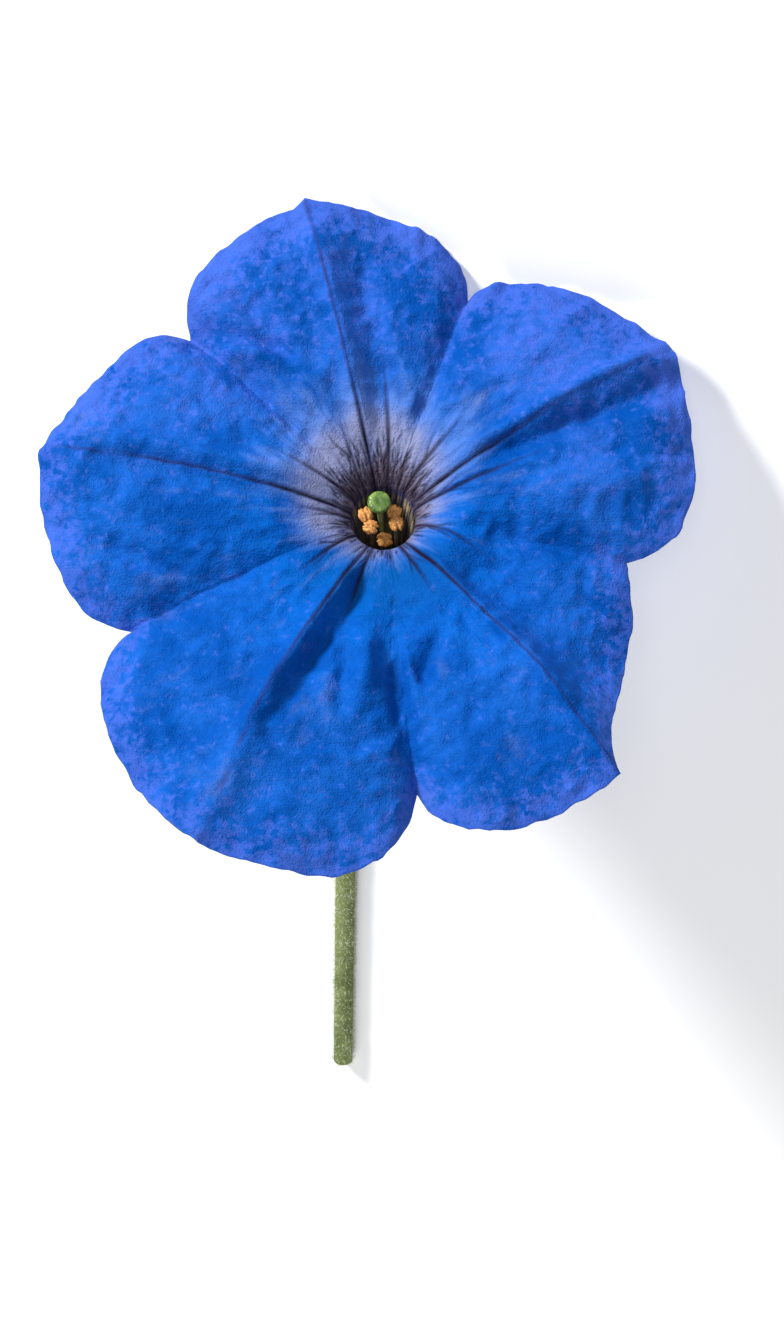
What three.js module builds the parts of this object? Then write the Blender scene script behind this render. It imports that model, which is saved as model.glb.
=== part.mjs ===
// Petunia flower: one cut blossom with its pedicel, lying on a flat surface.
// Millimetres, +Z up. The blossom is built about its own axis (its mouth at
// height 0, looking along +z) and then leaned over into the pose it rests in.
import * as THREE from 'three';
import { mergeVertices } from 'three/addons/utils/BufferGeometryUtils.js';

// ---------- driving dimensions ----------

// Five midribs, counter-clockwise from the flower's right: angle and length to the cusp.
const RIBS = [
  { angle: 27.5, length: 38.2 },
  { angle: 104, length: 38.0 },
  { angle: 171.5, length: 40.3 },
  { angle: 243.2, length: 46.2 },
  { angle: 309.2, length: 42.4 },
];
// The notch that follows each rib: angle and distance from the axis.
const NOTCHES = [
  { angle: 69, radius: 27.5 },
  { angle: 137, radius: 31.0 },
  { angle: 207, radius: 32.4 },
  { angle: 276.5, radius: 34.2 },
  { angle: 347, radius: 28.7 },
];
// Margin of each half lobe, before and after its rib. The margin leaves the cusp for
// cuspReach at cuspTilt inward of square to the rib, and climbs out of the notch for
// notchReach, leaning notchLean toward the rib. crest is the height of the rib fold,
// puff the swell of the half lobe, nod how far its margin falls back.
const HALVES = [
  {
    before: { cuspReach: 7, cuspTilt: 14, notchReach: 12, notchLean: 20, crest: 4.0, puff: 1.1, nod: 1.0 },
    after: { cuspReach: 11, cuspTilt: 14, notchReach: 6, notchLean: 10, crest: 3.6, puff: 0.8, nod: 0.5 },
  },
  {
    before: { cuspReach: 8, cuspTilt: 14, notchReach: 8, notchLean: 15, crest: 3.4, puff: 0.7, nod: 0.6 },
    after: { cuspReach: 10, cuspTilt: 10, notchReach: 8, notchLean: 34, crest: 3.4, puff: 1.3, nod: 0.6 },
  },
  {
    before: { cuspReach: 8, cuspTilt: 26, notchReach: 7, notchLean: 25, crest: 3.8, puff: 0.7, nod: 0.8 },
    after: { cuspReach: 10, cuspTilt: 9, notchReach: 8, notchLean: 25, crest: 3.8, puff: 1.0, nod: 0.8 },
  },
  {
    before: { cuspReach: 12, cuspTilt: 8, notchReach: 9.5, notchLean: 10, crest: 4.2, puff: 0.8, nod: 0.6 },
    after: { cuspReach: 11, cuspTilt: 8, notchReach: 14, notchLean: 15, crest: 4.2, puff: 1.2, nod: 0.8 },
  },
  {
    before: { cuspReach: 12, cuspTilt: 1, notchReach: 8, notchLean: 15, crest: 3.8, puff: 1.0, nod: 0.8 },
    after: { cuspReach: 8, cuspTilt: 75, notchReach: 11, notchLean: 61, crest: 4.4, puff: 0.5, nod: 3.4 },
  },
];

// Inside of the corolla tube, from its foot to the mouth: radius and height.
const TUBE = [
  [2.0, -33],
  [2.0, -29],
  [2.15, -24],
  [2.4, -18],
  [2.75, -12],
  [3.1, -7],
  [3.45, -3],
  [3.8, 0],
];
// Front of the limb: share of the way from the mouth to the margin, and height.
const LIMB = [
  [0.015, 1.0],
  [0.04, 2.0],
  [0.08, 3.1],
  [0.14, 4.2],
  [0.22, 5.2],
  [0.32, 6.0],
  [0.43, 6.5],
  [0.54, 6.9],
  [0.65, 7.1],
  [0.75, 7.1],
  [0.84, 6.9],
  [0.91, 6.5],
  [0.96, 6.1],
  [1.0, 5.6],
];
const TUBE_WALL = 0.6;
const LIMB_THICKNESS = 0.7;
const STEPS_PER_HALF = 8;

// Margin waves: height, and how many run round the whole flower.
const WAVE_HEIGHT = 0.45;
const WAVE_COUNT = 23;

// Calyx: five narrow sepals clasping the foot of the tube and spreading at their tips.
const SEPAL_AZIMUTH = 12;
const SEPAL_SPINE = [
  [3.35, -34.2],
  [3.4, -31.5],
  [3.6, -28.5],
  [4.2, -25.5],
  [5.3, -22.8],
  [6.9, -20.8],
];
const SEPAL_WIDTHS = [2.2, 2.3, 2.6, 2.9, 2.4, 0.9];
const SEPAL_THICKNESS = 0.7;

// Pistil.
const OVARY_PROFILE = [
  [0, -33.0],
  [0.85, -33.0],
  [1.15, -32.2],
  [1.1, -31.0],
  [0.7, -29.6],
  [0.35, -28.9],
  [0, -28.8],
];
const STYLE_RADIUS = 0.32;
const STYLE_PATH = [
  [0, 0, -28.5],
  [0, 0.1, -20],
  [-0.2, 0.5, -8],
  [-0.5, 1.3, 1.4],
];
const STIGMA_PLACE = [-0.5, 1.3, 1.7];
const STIGMA_PROFILE = [
  [0, 0],
  [0.8, 0.02],
  [1.25, 0.3],
  [1.35, 0.65],
  [1.2, 1.0],
  [0.7, 1.15],
  [0, 1.1],
];

// Stamens: the two long pairs and the short fifth one, each anther's centre and turn.
const ANTHERS = [
  { place: [-2.15, 0.35, 0.5], turn: 20 },
  { place: [-1.55, -1.35, 0.3], turn: 75 },
  { place: [1.45, 0.75, 0.4], turn: -30 },
  { place: [1.55, -0.85, 0.1], turn: 15 },
  { place: [0.0, -2.0, -2.4], turn: 90 },
];
const ANTHER_SIZE = [0.72, 0.62, 0.85];
const FILAMENT_RADIUS = 0.24;
const FILAMENT_FOOT = { radius: 1.45, height: -26 };

// Pedicel: swollen under the flower, then a round stalk that comes down to the
// surface and lies along it.
const STALK_RADIUS = 1.25;
const SWELLING = [
  [2.7, -33.4],
  [2.95, -34.0],
  [2.72, -34.9],
  [1.85, -36.2],
  [1.35, -38.0],
];
const STALK_RUN = [
  { across: -0.3, along: 12, rise: 0.35 },
  { across: -1.6, along: 24, rise: 0.05 },
  { across: -3.8, along: 36, rise: 0 },
  { across: -6.6, along: 48, rise: 0 },
  { across: -9.5, along: 60, rise: 0 },
  { across: -12.4, along: 72, rise: 0 },
];

// Resting pose: turn of the blossom about its own axis, lean of that axis from the
// vertical, and a small roll, so that two lobes and the stalk touch the surface.
const SPIN = 24.3;
const LEAN = 55;
const ROLL = 0;

// ---------- helpers ----------

const radians = THREE.MathUtils.degToRad;

function polar(angle, radius) {
  return new THREE.Vector2(radius * Math.cos(radians(angle)), radius * Math.sin(radians(angle)));
}

// Closed body through a stack of rings, each an array of the same number of points.
function loft(rings) {
  const count = rings[0].length;
  const positions = [];
  const faces = [];
  rings.flat().forEach((p) => positions.push(p.x, p.y, p.z));
  for (let r = 0; r + 1 < rings.length; r += 1) {
    for (let i = 0; i < count; i += 1) {
      const a = r * count + i;
      const b = r * count + ((i + 1) % count);
      faces.push(a, b, a + count, b, b + count, a + count);
    }
  }
  const addCap = (ring, start, flip) => {
    const centre = ring.reduce((sum, p) => sum.add(p), new THREE.Vector3()).divideScalar(count);
    const hub = positions.length / 3;
    positions.push(centre.x, centre.y, centre.z);
    for (let i = 0; i < count; i += 1) {
      const a = start + i;
      const b = start + ((i + 1) % count);
      faces.push(hub, flip ? b : a, flip ? a : b);
    }
  };
  addCap(rings[0], 0, true);
  addCap(rings[rings.length - 1], (rings.length - 1) * count, false);
  return indexed(positions, faces);
}

function indexed(positions, faces) {
  const geometry = new THREE.BufferGeometry();
  geometry.setAttribute('position', new THREE.Float32BufferAttribute(positions, 3));
  geometry.setIndex(faces);
  geometry.computeVertexNormals();
  return geometry;
}

// Round stalk along a curve, its radius given at each share of the way.
function stalk(curve, radiusAt, steps, sides) {
  const rings = [];
  let side = new THREE.Vector3(1, 0, 0);
  for (let s = 0; s <= steps; s += 1) {
    const share = s / steps;
    const centre = curve.getPointAt(share);
    const ahead = curve.getTangentAt(share);
    side.addScaledVector(ahead, -side.dot(ahead)).normalize();
    const up = new THREE.Vector3().crossVectors(ahead, side);
    const ring = [];
    for (let i = 0; i < sides; i += 1) {
      const turn = (2 * Math.PI * i) / sides;
      const point = centre.clone();
      point.addScaledVector(side, radiusAt(share) * Math.cos(turn));
      point.addScaledVector(up, radiusAt(share) * Math.sin(turn));
      ring.push(point);
    }
    rings.push(ring);
  }
  return loft(rings);
}

function material(color, roughness) {
  return new THREE.MeshStandardMaterial({ color, roughness, metalness: 0 });
}

function named(name, geometry, finish) {
  const mesh = new THREE.Mesh(geometry, finish);
  mesh.name = name;
  return mesh;
}

// ---------- corolla ----------

// One half lobe: its margin as a curve from the rib's cusp to the notch.
function halfLobe(index, side) {
  const rib = RIBS[index];
  const notch = side > 0 ? NOTCHES[index] : NOTCHES[(index + 4) % 5];
  const shape = side > 0 ? HALVES[index].after : HALVES[index].before;
  const cusp = polar(rib.angle, rib.length);
  const foot = polar(notch.angle, notch.radius);
  const cuspHandle = cusp.clone().add(polar(rib.angle + side * (90 + shape.cuspTilt), shape.cuspReach));
  const notchHandle = foot.clone().add(polar(notch.angle - side * shape.notchLean, shape.notchReach));
  const span = Math.abs(((notch.angle - rib.angle + 540) % 360) - 180);
  const margin = new THREE.CubicBezierCurve(cusp, cuspHandle, notchHandle, foot);
  return { rib, side, shape, span, margin };
}

// Height that the folds, swells and waves add, at a share w from rib to notch and k
// from mouth to margin.
function relief(half, w, k, angle) {
  const { crest, puff, nod } = half.shape;
  const grow = k * (2 - k) * Math.min(1, k * 4);
  const fold = crest * (Math.pow(1 - w, 1.5) - 0.45);
  const swell = puff * Math.sin(Math.PI * Math.pow(w, 1.4));
  const gutter = 0.9 * Math.exp(-Math.pow((1 - w) / 0.12, 2));
  const wave = WAVE_HEIGHT * Math.sin(radians(angle) * WAVE_COUNT) * Math.pow(k, 6);
  const fall = nod * Math.sin(Math.PI * Math.min(1, w * 1.15)) * Math.pow(k, 4);
  return grow * (fold + swell - gutter) + wave - fall;
}

// Front of the corolla as rows of points, from the foot of the tube to the margin.
function corollaFront() {
  const columns = [];
  for (let index = 0; index < 5; index += 1) {
    const before = halfLobe(index, -1);
    const after = halfLobe(index, 1);
    for (let s = 0; s < STEPS_PER_HALF; s += 1) {
      columns.push({ half: before, t: 1 - s / STEPS_PER_HALF });
    }
    for (let s = 0; s < STEPS_PER_HALF; s += 1) {
      columns.push({ half: after, t: s / STEPS_PER_HALF });
    }
  }
  const rays = columns.map(({ half, t }) => {
    const edge = half.margin.getPoint(t);
    const angle = THREE.MathUtils.radToDeg(Math.atan2(edge.y, edge.x));
    const turned = Math.abs(((angle - half.rib.angle + 540) % 360) - 180);
    return { half, angle, radius: edge.length(), w: Math.min(1, turned / half.span) };
  });
  const rows = [];
  TUBE.forEach(([radius, height]) => {
    rows.push(rays.map((ray) => {
      const p = polar(ray.angle, radius);
      return new THREE.Vector3(p.x, p.y, height);
    }));
  });
  const mouth = TUBE[TUBE.length - 1][0];
  LIMB.forEach(([k, height]) => {
    rows.push(rays.map((ray) => {
      const p = polar(ray.angle, mouth + k * (ray.radius - mouth));
      return new THREE.Vector3(p.x, p.y, height + relief(ray.half, ray.w, k, ray.angle));
    }));
  });
  return rows;
}

function corolla() {
  const front = corollaFront();
  const count = front[0].length;
  const last = front.length - 1;
  const back = front.map((row, r) => row.map((p, i) => {
    const along = front[Math.min(last, r + 1)][i].clone().sub(front[Math.max(0, r - 1)][i]);
    const around = row[(i + 1) % count].clone().sub(row[(i + count - 1) % count]);
    const normal = new THREE.Vector3().crossVectors(along, around).normalize();
    const depth = r < TUBE.length ? TUBE_WALL : LIMB_THICKNESS;
    if (r === 0) {
      normal.setZ(0).normalize();
    }
    return p.clone().addScaledVector(normal, -depth);
  }));
  const positions = [];
  const faces = [];
  const loop = front.concat(back.reverse());
  loop.flat().forEach((p) => positions.push(p.x, p.y, p.z));
  for (let r = 0; r < loop.length; r += 1) {
    const next = (r + 1) % loop.length;
    for (let i = 0; i < count; i += 1) {
      const a = r * count + i;
      const b = r * count + ((i + 1) % count);
      const c = next * count + i;
      const d = next * count + ((i + 1) % count);
      faces.push(a, c, b, b, c, d);
    }
  }
  return indexed(positions, faces);
}

// ---------- calyx, pistil and stamens ----------

function sepal(azimuth) {
  const spine = new THREE.SplineCurve(SEPAL_SPINE.map(([r, h]) => new THREE.Vector2(r, h)));
  const widths = new THREE.SplineCurve(SEPAL_WIDTHS.map((w, i) => new THREE.Vector2(i, w)));
  const steps = 10;
  const sides = 8;
  const rings = [];
  for (let s = 0; s <= steps; s += 1) {
    const share = s / steps;
    const centre = spine.getPoint(share);
    const ahead = spine.getTangent(share);
    const width = widths.getPoint(share).y;
    const ring = [];
    for (let i = 0; i < sides; i += 1) {
      const turn = (2 * Math.PI * i) / sides;
      const across = -0.5 * width * Math.cos(turn);
      const thick = 0.5 * SEPAL_THICKNESS * Math.sin(turn);
      const cup = (across * across) / (2 * centre.x);
      const out = thick - cup;
      const radius = centre.x + out * ahead.y;
      ring.push(new THREE.Vector3(radius, across, centre.y - out * ahead.x));
    }
    rings.push(ring);
  }
  return loft(rings).rotateZ(radians(azimuth));
}

function latheBody(profile, segments) {
  const points = profile.map(([r, h]) => new THREE.Vector2(r, h));
  return new THREE.LatheGeometry(points, segments).rotateX(Math.PI / 2);
}

// Anther: an egg with a furrow down its face, where the two pollen sacs meet.
function anther() {
  const egg = new THREE.SphereGeometry(1, 12, 8);
  egg.deleteAttribute('uv');
  egg.deleteAttribute('normal');
  const body = mergeVertices(egg, 1e-4);
  const place = body.getAttribute('position');
  for (let i = 0; i < place.count; i += 1) {
    const p = new THREE.Vector3().fromBufferAttribute(place, i);
    const furrow = 1 - 0.28 * Math.exp(-Math.pow(p.x / 0.3, 2)) * Math.max(0, p.z + 0.4);
    place.setXYZ(i, p.x * ANTHER_SIZE[0], p.y * ANTHER_SIZE[2], p.z * ANTHER_SIZE[1] * furrow);
  }
  body.computeVertexNormals();
  return body;
}

// ---------- assembly ----------

const petal = material(0x1266cf, 0.62);
const green = material(0x7b8257, 0.78);
const paleGreen = material(0x9aa66a, 0.6);
const stigmaGreen = material(0x5d8a2e, 0.35);
const pollen = material(0xc98b4e, 0.8);

const flower = new THREE.Group();
const blossom = new THREE.Group();
flower.add(blossom);
blossom.add(named('corolla', corolla(), petal));
for (let i = 0; i < 5; i += 1) {
  blossom.add(named(`sepal_${i + 1}`, sepal(SEPAL_AZIMUTH + 72 * i), green));
}
blossom.add(named('ovary', latheBody(OVARY_PROFILE, 20), paleGreen));
const styleCurve = new THREE.CatmullRomCurve3(STYLE_PATH.map((p) => new THREE.Vector3(...p)));
blossom.add(named('style', stalk(styleCurve, () => STYLE_RADIUS, 14, 6), paleGreen));
const stigma = named('stigma', latheBody(STIGMA_PROFILE, 24), stigmaGreen);
stigma.position.set(...STIGMA_PLACE);
blossom.add(stigma);
ANTHERS.forEach(({ place, turn }, i) => {
  const top = new THREE.Vector3(...place);
  const head = named(`anther_${i + 1}`, anther(), pollen);
  head.position.copy(top);
  head.rotation.z = radians(turn);
  blossom.add(head);
  const outward = Math.atan2(top.y, top.x);
  const foot = new THREE.Vector3(Math.cos(outward), Math.sin(outward), 0).multiplyScalar(FILAMENT_FOOT.radius);
  foot.z = FILAMENT_FOOT.height;
  const end = top.clone().add(new THREE.Vector3(0, 0, -ANTHER_SIZE[1] - 0.3));
  const middle = foot.clone().lerp(end, 0.5);
  middle.z = 0.5 * (foot.z + end.z);
  const neck = end.clone().add(new THREE.Vector3(0, 0, -2.5));
  neck.multiply(new THREE.Vector3(0.97, 0.97, 1));
  const path = new THREE.CatmullRomCurve3([foot, middle, neck, end]);
  blossom.add(named(`filament_${i + 1}`, stalk(path, () => FILAMENT_RADIUS, 10, 6), paleGreen));
});
flower.rotation.order = 'ZYX';
flower.rotation.set(radians(-LEAN), radians(ROLL), Math.PI);
blossom.rotation.z = radians(SPIN);

// Stand the flower on the surface, then run the pedicel from its foot.
const part = new THREE.Group();
part.add(flower);
part.updateMatrixWorld(true);
flower.position.z = -new THREE.Box3().setFromObject(flower, true).min.z;
part.updateMatrixWorld(true);

const swellingEnd = SWELLING[SWELLING.length - 1];
const lead = SWELLING.map(([, h]) => flower.localToWorld(new THREE.Vector3(0, 0, h)));
const run = STALK_RUN.map(({ across, along, rise }) => {
  const start = lead[lead.length - 1];
  return new THREE.Vector3(start.x + across, start.y + along, STALK_RADIUS + rise);
});
const pedicelPath = new THREE.CatmullRomCurve3([lead[0], lead[2], lead[4], ...run]);
const swelling = new THREE.SplineCurve(SWELLING.map(([r, h]) => new THREE.Vector2(SWELLING[0][1] - h, r)));
const swellingLength = SWELLING[0][1] - swellingEnd[1];
const pedicelLength = pedicelPath.getLength();
const pedicelRadius = (share) => {
  const reached = (share * pedicelLength) / swellingLength;
  return reached < 1 ? swelling.getPoint(reached).y : STALK_RADIUS;
};
part.add(named('pedicel', stalk(pedicelPath, pedicelRadius, 44, 10), green));

// Origin at the middle of the footprint.
const box = new THREE.Box3().setFromObject(part, true);
const centre = box.getCenter(new THREE.Vector3());
part.children.forEach((child) => {
  child.position.x -= centre.x;
  child.position.y -= centre.y;
  child.position.z -= box.min.z;
});

const petuniaFlower = new THREE.Group();
petuniaFlower.add(part);
export default petuniaFlower;
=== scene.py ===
"""Petunia flower: the looks of one cut blossom and its stalk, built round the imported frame.

Sizes in the dataclasses are millimetres and degrees in the blossom's own frame, unless
a class says otherwise: the middle of the mouth is the origin, +z points out of the mouth,
+x to the blossom's right and +y up its face. Meshes are put into the frame in metres.
"""
from __future__ import annotations

import logging
import math
from dataclasses import dataclass
from enum import Enum

import bmesh
import bpy
import numpy as np
from mathutils import Matrix, Vector, noise


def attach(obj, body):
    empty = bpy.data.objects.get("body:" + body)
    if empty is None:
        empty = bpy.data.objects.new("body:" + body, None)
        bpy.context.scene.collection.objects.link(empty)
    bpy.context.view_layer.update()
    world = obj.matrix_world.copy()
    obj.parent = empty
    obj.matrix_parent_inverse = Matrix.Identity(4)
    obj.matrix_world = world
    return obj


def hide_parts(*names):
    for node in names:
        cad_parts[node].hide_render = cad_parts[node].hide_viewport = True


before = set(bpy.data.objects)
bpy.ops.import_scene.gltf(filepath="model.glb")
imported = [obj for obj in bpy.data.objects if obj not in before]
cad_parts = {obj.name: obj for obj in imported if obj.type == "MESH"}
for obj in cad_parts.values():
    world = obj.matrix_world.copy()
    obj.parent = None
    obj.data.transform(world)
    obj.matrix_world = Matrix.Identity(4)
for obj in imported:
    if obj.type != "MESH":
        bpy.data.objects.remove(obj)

LOG = logging.getLogger("petunia")
MM = 0.001
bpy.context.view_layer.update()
SENSOR_WIDTH = 36.0
SPAN_SAMPLES = 60
MARGIN_SAMPLES = 400

Array = np.ndarray


# ---------------------------------------------------------------- pose and curves


@dataclass(frozen=True)
class Pose:
    """How the blossom lies: turn about its own axis, then lean of that axis."""

    spin: float = 24.3
    lean: float = 55.0
    ovary_top: float = -28.8

    def rotation(self) -> Array:
        """Rotation from the blossom's own frame to the part's frame, as a 3x3 array."""
        turn = (
            Matrix.Rotation(math.pi, 3, "Z")
            @ Matrix.Rotation(math.radians(-self.lean), 3, "X")
            @ Matrix.Rotation(math.radians(self.spin), 3, "Z")
        )
        return np.array(turn)

    def mouth(self) -> Array:
        """Place of the middle of the mouth in the part's frame, in millimetres.

        The ovary is a solid of revolution about the blossom's axis, so its mesh gives
        a point on that axis and, by its top, the height along it.
        """
        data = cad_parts["ovary"].data
        points = np.empty(len(data.vertices) * 3)
        data.vertices.foreach_get("co", points)
        points = points.reshape(-1, 3) / MM
        axis = self.rotation()[:, 2]
        along = points @ axis
        centre = points.mean(axis=0)
        return centre + axis * (along.max() - centre @ axis - self.ovary_top)

    def place(self, points: Array) -> Array:
        """Puts points of the blossom's own frame into the part's frame."""
        return points @ self.rotation().T + self.mouth()


def arc_length(path: Array) -> Array:
    """Distance along a path at each of its points."""
    return np.concatenate([[0], np.cumsum(np.linalg.norm(np.diff(path, axis=0), axis=1))])


def evenly(path: Array, count: int) -> Array:
    """Points evenly spaced along a path.

    Args:
        path: The path, one row for each point.
        count: How many points to return.

    Returns:
        The points, ends included.
    """
    length = arc_length(path)
    wanted = np.linspace(0, length[-1], count)
    return np.stack([np.interp(wanted, length, column) for column in path.T], axis=1)


def tangents(path: Array) -> Array:
    """Unit direction of a path at each of its points."""
    ahead = np.gradient(path, axis=0)
    return ahead / np.linalg.norm(ahead, axis=1)[:, None]


def ring_turns(around: int) -> Array:
    """Angles of the points of a ring, in radians."""
    return np.linspace(0, 2 * math.pi, around, endpoint=False)


def centripetal(points: Array, count: int) -> Array:
    """Points evenly spaced along a centripetal Catmull-Rom curve.

    Args:
        points: Control points that the curve passes through.
        count: How many points to return.

    Returns:
        The points along the curve, ends included.
    """
    p = np.vstack([2 * points[0] - points[1], points, 2 * points[-1] - points[-2]])
    dense = []
    for i in range(len(points) - 1):
        p0, p1, p2, p3 = p[i : i + 4]
        d0, d1, d2 = (np.linalg.norm(b - a) ** 0.5 for a, b in ((p0, p1), (p1, p2), (p2, p3)))
        m1 = ((p1 - p0) / d0 - (p2 - p0) / (d0 + d1) + (p2 - p1) / d1) * d1
        m2 = ((p2 - p1) / d1 - (p3 - p1) / (d1 + d2) + (p3 - p2) / d2) * d1
        t = np.linspace(0, 1, SPAN_SAMPLES, endpoint=i == len(points) - 2)[:, None]
        dense.append(
            (2 * t**3 - 3 * t**2 + 1) * p1
            + (t**3 - 2 * t**2 + t) * m1
            + (3 * t**2 - 2 * t**3) * p2
            + (t**3 - t**2) * m2
        )
    return evenly(np.vstack(dense), count)


def through(stations: Array, at: Array) -> Array:
    """Smooth curve through evenly numbered stations.

    Args:
        stations: Values at 0, 1, 2 and so on, one row each.
        at: Where to read the curve, in station numbers.

    Returns:
        The values there, one row for each entry of at.
    """
    s = np.asarray(stations, float)
    if s.ndim == 1:
        s = s[:, None]
    s = np.vstack([2 * s[0] - s[1], s, 2 * s[-1] - s[-2]])
    i = np.clip(np.floor(at).astype(int), 0, len(s) - 4)
    t = (at - i)[:, None]
    p0, p1, p2, p3 = s[i], s[i + 1], s[i + 2], s[i + 3]
    return 0.5 * (
        2 * p1
        + (p2 - p0) * t
        + (2 * p0 - 5 * p1 + 4 * p2 - p3) * t**2
        + (3 * p1 - p0 - 3 * p2 + p3) * t**3
    )


def smooth(low: float, high: float, x: Array) -> Array:
    """Smooth step from 0 at low to 1 at high."""
    t = np.clip((x - low) / (high - low), 0, 1)
    return t * t * (3 - 2 * t)


def ripple(points: Array, size: float, seed: float) -> Array:
    """Smooth noise over points.

    Args:
        points: Points as rows, in millimetres.
        size: Size of one blotch of the noise, in millimetres.
        seed: Offset that picks another stretch of the noise.

    Returns:
        One value from about -1 to 1 for each point.
    """
    shift = Vector((seed * 17.3, seed * 5.1, seed * 9.7))
    return np.array([noise.noise(Vector(p) / size + shift) for p in points])


# ---------------------------------------------------------------- mesh helpers


def mesh_object(name: str, vertices: Array, faces: list, materials: list) -> bpy.types.Object:
    """Makes a smooth mesh object at the origin.

    Args:
        name: The piece's name.
        vertices: Vertex places in the part's frame, in millimetres.
        faces: Vertex numbers of each face.
        materials: The materials of its slots.

    Returns:
        The new object, linked to the scene.
    """
    data = bpy.data.meshes.new(name)
    data.from_pydata((vertices * MM).tolist(), [], faces)
    for material in materials:
        data.materials.append(material)
    data.polygons.foreach_set("use_smooth", [True] * len(data.polygons))
    data.update()
    piece = bpy.data.objects.new(name, data)
    bpy.context.scene.collection.objects.link(piece)
    return piece


def add_values(piece: bpy.types.Object, name: str, values: Array) -> None:
    """Stores one number or vector for each vertex as a mesh attribute.

    Args:
        piece: The piece.
        name: The attribute's name.
        values: One value or one row of three for each vertex.
    """
    kind, key = ("FLOAT", "value") if values.ndim == 1 else ("FLOAT_VECTOR", "vector")
    layer = piece.data.attributes.new(name, kind, "POINT")
    layer.data.foreach_set(key, values.astype(np.float32).ravel())


def loft_faces(rings: int, around: int, closed_tube: bool = False) -> list:
    """Quads between rings of points.

    Args:
        rings: How many rings there are.
        around: How many points each ring has.
        closed_tube: Whether the last ring joins the first.

    Returns:
        The faces, turned outward for rings that run counter-clockwise about the way on.
    """
    faces = []
    for r in range(rings if closed_tube else rings - 1):
        n = (r + 1) % rings
        for i in range(around):
            j = (i + 1) % around
            faces.append((r * around + i, r * around + j, n * around + j, n * around + i))
    return faces


def stalk_rings(path: Array, radii: Array, around: int, wobble: Array | None = None) -> Array:
    """Rings of points round a path.

    Args:
        path: Centre line.
        radii: Radius at each point of the path.
        around: Points in each ring.
        wobble: Share by which each point's radius grows, rings by around.

    Returns:
        The points, rings by around by three.
    """
    side = np.array([1.0, 0.0, 0.0])
    turns = ring_turns(around)
    rings = []
    for i, (centre, tangent) in enumerate(zip(path, tangents(path))):
        side = side - tangent * (side @ tangent)
        side /= np.linalg.norm(side)
        up = np.cross(tangent, side)
        radius = radii[i] * (1 if wobble is None else 1 + wobble[i])
        radius = np.broadcast_to(radius, (around,))[:, None]
        rings.append(
            centre + radius * (np.cos(turns)[:, None] * side + np.sin(turns)[:, None] * up)
        )
    return np.array(rings)


def capped_loft(rings: Array) -> tuple[Array, list]:
    """Closed body through rings, with a rounded fan at each end.

    Args:
        rings: The points, rings by around by three.

    Returns:
        Its vertices and faces.
    """
    count, around = rings.shape[:2]
    vertices = rings.reshape(-1, 3)
    first = rings[0].mean(axis=0)
    last = rings[-1].mean(axis=0)
    faces = loft_faces(count, around)
    hub = len(vertices)
    for i in range(around):
        j = (i + 1) % around
        faces.append((hub, j, i))
        faces.append((hub + 1, (count - 1) * around + i, (count - 1) * around + j))
    return np.vstack([vertices, first, last]), faces


def lathe_rings(profile: Array, around: int) -> Array:
    """Rings of a solid of revolution about +z.

    Args:
        profile: Radius and height of each ring, from the bottom up.
        around: Points in each ring.

    Returns:
        The points, rings by around by three.
    """
    turns = ring_turns(around)
    return np.array(
        [
            np.stack([r * np.cos(turns), r * np.sin(turns), np.full(around, h)], axis=1)
            for r, h in profile
        ]
    )


def declare(piece: bpy.types.Object, node: str | None = None) -> bpy.types.Object:
    """Declares a finished piece to the frame.

    Args:
        piece: The piece.
        node: The node it stands for, if it stands for one.

    Returns:
        The same piece.
    """
    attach(piece, "root")
    if node is not None:
        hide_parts(node)
    return piece


def ring_piece(
    name: str, rings: Array, material: bpy.types.Material, node: str
) -> bpy.types.Object:
    """Args:
        name: The piece's name.
        rings: The points, rings by around by three.
        material: Its finish.
        node: The node it stands for.

    Returns:
        The piece.
    """
    vertices, faces = capped_loft(rings)
    return declare(mesh_object(name, vertices, faces, [material]), node)


# ---------------------------------------------------------------- shader helpers


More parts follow.
